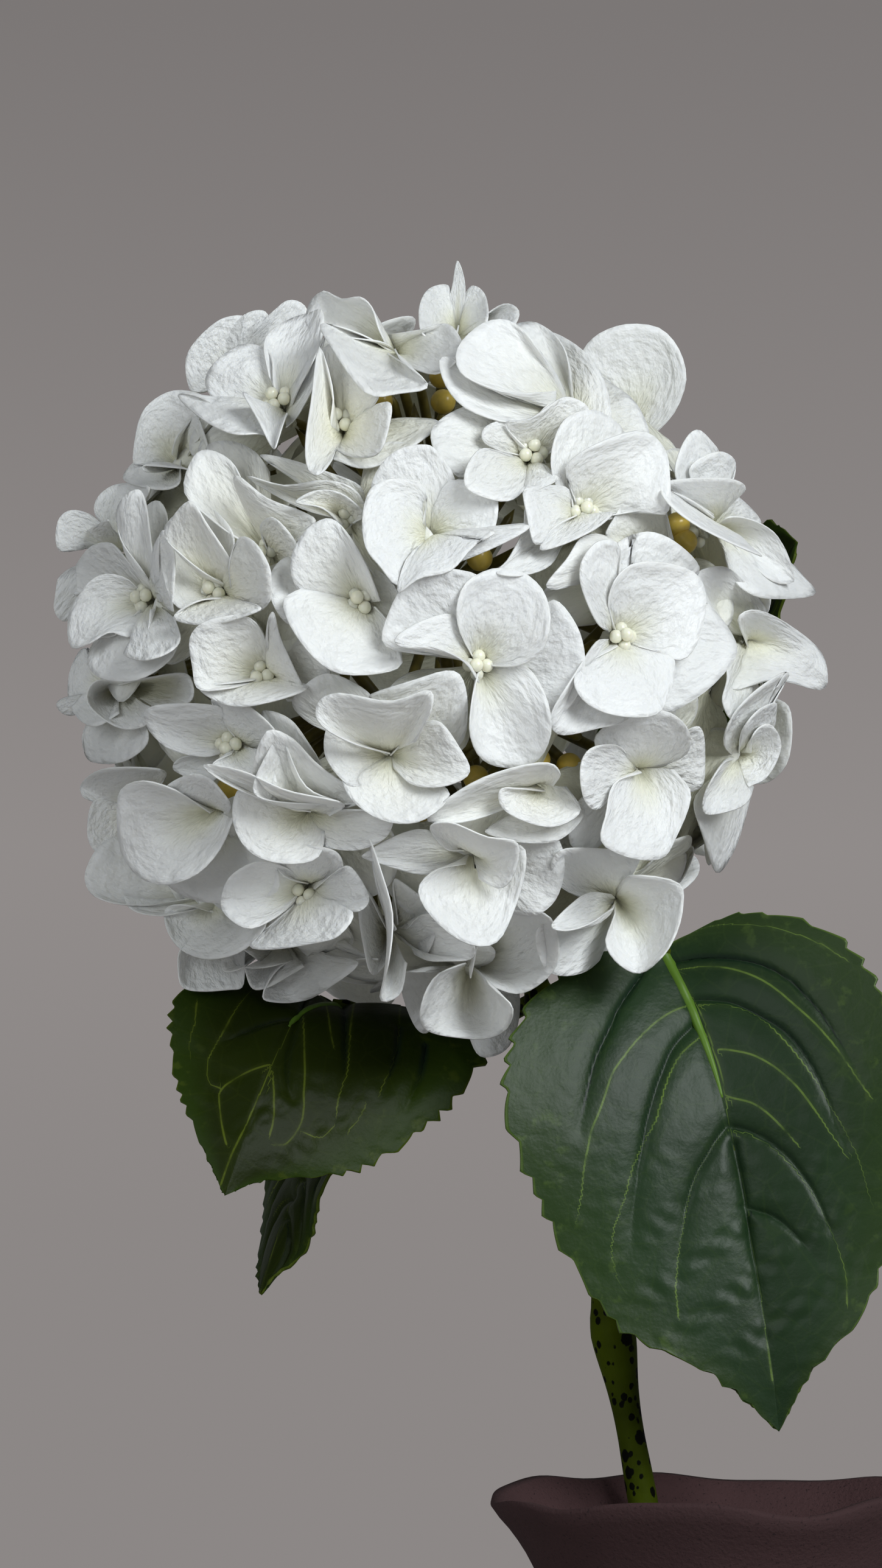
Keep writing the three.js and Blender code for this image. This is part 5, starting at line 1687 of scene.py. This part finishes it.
class HYDRANGEA_OT_florets(Operator):
    """Shape the florets, those in view from their outlines and the rest spread over the back"""

    bl_idname = "hydrangea.florets"
    bl_label = "Florets"

    def execute(self, context):
        flower = context.scene.hydrangea_flower
        looks = {"petal": petal_material(flower), "bead": bead_material(flower)}
        seen = seen_florets()
        for seed, (name, spot, petals) in enumerate(seen):
            centre = on_radius(spot, BEAD_RADIUS)
            outlines = laid_out(name, centre, petals)
            node = f"floret_{name}"
            whole = build_floret(name, centre, outlines, looks, flower, seed + 11)
            finish_piece(whole, f"{node}_petals", node)
        hidden, places, groups = back_florets(seen)
        for number, group in enumerate(groups, 1):
            kind = "floret_back" if len(group) == 1 else "floret_back_pair"
            node = f"{kind}_{number:02d}"
            parts = []
            for order in group:
                away = float(np.clip(hidden[order][1] / 0.6, 0, 1))
                floret = build_floret(
                    node, places[order], [], looks, flower, order + 101, reach=23 + 5 * away,
                    rise=0.15 + 0.85 * away, under=7 * (1 - away), covered=hidden[order][1] < 0.4,
                )
                parts.append(floret)
            if len(group) == 2:
                fork = on_radius((places[group[0]] + places[group[1]]) / 2, FORK_DEPTH)
                for order in group:
                    prong = [fork, on_radius(places[order], BEAD_RADIUS - 3)]
                    stalk = tube(prong, FORK_RADII, rows=6, around=8)
                    stalk.data.materials.append(looks["petal"])
                    parts.append(stalk)
            finish_piece(join(parts), f"{node}_petals", node)
        return {"FINISHED"}


class HYDRANGEA_OT_umbel(Operator):
    """Branch the stalks inside the head and set the unopened buds on theirs"""

    bl_idname = "hydrangea.umbel"
    bl_label = "Stalks and buds"

    def execute(self, context):
        flower = context.scene.hydrangea_flower
        stalk_look = stalk_material(flower)
        bud_look = bud_material(flower)
        rng = np.random.default_rng(5)
        line = evenly(stem_points(), [0.97, 1.0])
        root = line[1] + unit(line[1] - line[0]) * ROOT_RISE
        ends = [HEAD_CENTRE]
        for i in range(BRANCH_COUNT):
            angle = 2 * math.pi * i / BRANCH_COUNT
            way = unit(np.array([math.cos(angle), math.sin(angle), BRANCH_LEANS[i % 2]]))
            ends.append(HEAD_CENTRE + way * BRANCH_REACH)
        ends.append(HEAD_CENTRE + np.array([0, 0, BRANCH_REACH]))
        parts = []
        for end in ends:
            bend = (root + end) / 2 + rng.uniform(-1, 1, 3)
            parts.append(tube([root, bend, end], BRANCH_RADII, rows=10, around=10))
        seen = seen_florets()
        _, places, groups = back_florets(seen)
        tops = [on_radius(spot, BEAD_RADIUS - COLLAR_FOOT) for _, spot, _ in seen]
        for group in groups:
            middle = sum(places[order] for order in group) / len(group)
            tops.append(on_radius(middle, FORK_TOP if len(group) == 2 else BEAD_RADIUS - COLLAR_FOOT))
        buds = []
        for name, spot in BUDS.items():
            depth = BUD_DEPTH + BUD_LIFTS.get(name, 0.0)
            buds.append(on_radius(on_head(*spot, height=depth - BEAD_RADIUS), depth))
        passing = []
        for spot in GAPS:
            inner = on_radius(on_head(*spot, height=-12.0), PASSING_DEPTH)
            side, up = sideways(unit(inner - HEAD_CENTRE))
            for turn in rng.uniform(0, 2 * math.pi, 2):
                passing.append(inner + (side * math.cos(turn) + up * math.sin(turn)) * PASSING_SPREAD)
        for top in [*tops, *buds, *passing]:
            start = min(ends, key=lambda end: np.linalg.norm(end - top))
            bend = (start + top) / 2 + rng.uniform(-1.2, 1.2, 3)
            parts.append(tube([start, bend, top], STALK_RADII, rows=10, around=8))
        umbel = join(parts)
        umbel.data.materials.append(stalk_look)
        knots = []
        for bud in buds:
            bpy.ops.mesh.primitive_uv_sphere_add(
                segments=24, ring_count=16, radius=flower.bud, location=bud * MM
            )
            knot = context.object
            knot.data.materials.append(bud_look)
            knots.append(knot)
        umbel = join([umbel, *knots])
        finish_piece(umbel, "umbel_stalks", "umbel")
        return {"FINISHED"}


# ----- Stage -----
# Metres, apart from the camera's sensor in millimetres and the lights' colours.
LIGHT_TINT = (0.94, 0.985, 1.0)
AMBIENT_TINT = (0.95, 0.985, 1.0)
KEY_SIZE = 0.7
FILL_SIZE = 0.9
KEY_PLACE = (0.72, -1.14, 0.90)
KEY_AIM = (-0.06, 0, 0.40)
FILL_PLACE = (-0.95, -1.15, 0.72)
FILL_AIM = (-0.06, 0, 0.38)
FLOOR_RADIUS = 1.4
FLOOR_DROP = 0.0002
SENSOR = 36


def soft_light(name, power, size, spot, aim):
    light = bpy.data.lights.new(name, "AREA")
    light.energy = power
    light.color = LIGHT_TINT
    light.size = size
    lamp = bpy.data.objects.new(name, light)
    bpy.context.collection.objects.link(lamp)
    lamp.location = spot
    way = np.array(aim) - np.array(spot)
    flat = math.hypot(way[0], way[1])
    lamp.rotation_euler = (math.pi / 2 + math.atan2(way[2], flat), 0, math.atan2(-way[0], way[1]))


def backdrop_world(settings):
    """A grey backdrop, painted a little darker towards the top as shade, that lights the scene weakly."""
    world = bpy.data.worlds.new("backdrop")
    world.use_nodes = True
    nodes = world.node_tree.nodes
    links = world.node_tree.links
    shown = nodes["Background"]
    way = nodes.new("ShaderNodeTexCoord")
    height = nodes.new("ShaderNodeSeparateXYZ")
    ramp = nodes.new("ShaderNodeValToRGB")
    ramp.color_ramp.elements[0].position = 0.0
    ramp.color_ramp.elements[0].color = rgba(settings.backdrop)
    ramp.color_ramp.elements[1].position = 0.32
    ramp.color_ramp.elements[1].color = scaled(settings.backdrop, 0.76)
    middle = ramp.color_ramp.elements.new(0.10)
    middle.color = scaled(settings.backdrop, 1.07)
    links.new(way.outputs["Generated"], height.inputs[0])
    links.new(height.outputs["Z"], ramp.inputs[0])
    links.new(ramp.outputs[0], shown.inputs[0])
    ambient = nodes.new("ShaderNodeBackground")
    ambient.inputs[0].default_value = rgba(AMBIENT_TINT)
    ambient.inputs[1].default_value = settings.ambient
    path = nodes.new("ShaderNodeLightPath")
    either = nodes.new("ShaderNodeMixShader")
    links.new(path.outputs["Is Camera Ray"], either.inputs[0])
    links.new(ambient.outputs[0], either.inputs[1])
    links.new(shown.outputs[0], either.inputs[2])
    links.new(either.outputs[0], nodes["World Output"].inputs[0])
    return world


class HYDRANGEA_OT_stage(Operator):
    """Add the camera, the pale floor, the backdrop and the soft lights"""

    bl_idname = "hydrangea.stage"
    bl_label = "Stage"

    def execute(self, context):
        settings = context.scene.hydrangea_stage
        scene = context.scene
        bpy.ops.object.select_all(action="DESELECT")
        bpy.ops.mesh.primitive_circle_add(
            vertices=96, radius=FLOOR_RADIUS, fill_type="NGON", location=(0, 0, -FLOOR_DROP)
        )
        floor = context.object
        bpy.ops.object.transform_apply(location=True)
        floor.name = "floor"
        floor.data.materials.append(floor_material(settings))
        camera = bpy.data.cameras.new("camera")
        camera.lens = SENSOR * FOCAL / PICTURE[1]
        camera.sensor_width = SENSOR
        camera.clip_end = 20
        view = bpy.data.objects.new("camera", camera)
        scene.collection.objects.link(view)
        view.location = EYE * MM
        view.rotation_euler = (math.pi / 2 + PITCH, 0, 0)
        scene.camera = view
        soft_light("key", settings.key, KEY_SIZE, KEY_PLACE, KEY_AIM)
        soft_light("fill", settings.fill, FILL_SIZE, FILL_PLACE, FILL_AIM)
        scene.world = backdrop_world(settings)
        scene.view_settings.view_transform = "Standard"
        scene.view_settings.look = "None"
        return {"FINISHED"}


class HYDRANGEA_PT_panel(Panel):
    """Lists the pieces in the sidebar"""

    bl_label = "Hydrangea"
    bl_idname = "HYDRANGEA_PT_panel"
    bl_space_type = "VIEW_3D"
    bl_region_type = "UI"
    bl_category = "Hydrangea"

    def draw(self, context):
        for name in ("hydrangea_vase", "hydrangea_flower", "hydrangea_leaf", "hydrangea_stage"):
            group = getattr(context.scene, name)
            box = self.layout.box()
            for key in group.__annotations__:
                box.prop(group, key)
        for operator in OPERATORS:
            self.layout.operator(operator.bl_idname)


OPERATORS = (
    HYDRANGEA_OT_stage,
    HYDRANGEA_OT_vase,
    HYDRANGEA_OT_stem,
    HYDRANGEA_OT_leaves,
    HYDRANGEA_OT_umbel,
    HYDRANGEA_OT_florets,
)
GROUPS = {
    "hydrangea_vase": VaseSettings,
    "hydrangea_flower": FlowerSettings,
    "hydrangea_leaf": LeafSettings,
    "hydrangea_stage": StageSettings,
}


def register():
    for name, group in GROUPS.items():
        bpy.utils.register_class(group)
        setattr(bpy.types.Scene, name, PointerProperty(type=group))
    for item in (*OPERATORS, HYDRANGEA_PT_panel):
        bpy.utils.register_class(item)


def unregister():
    for item in (HYDRANGEA_PT_panel, *reversed(OPERATORS)):
        bpy.utils.unregister_class(item)
    for name, group in reversed(GROUPS.items()):
        delattr(bpy.types.Scene, name)
        bpy.utils.unregister_class(group)


def main():
    register()
    bpy.ops.hydrangea.stage()
    bpy.ops.hydrangea.vase()
    bpy.ops.hydrangea.stem()
    bpy.ops.hydrangea.leaves()
    bpy.ops.hydrangea.umbel()
    bpy.ops.hydrangea.florets()


if __name__ == "__main__":
    main()
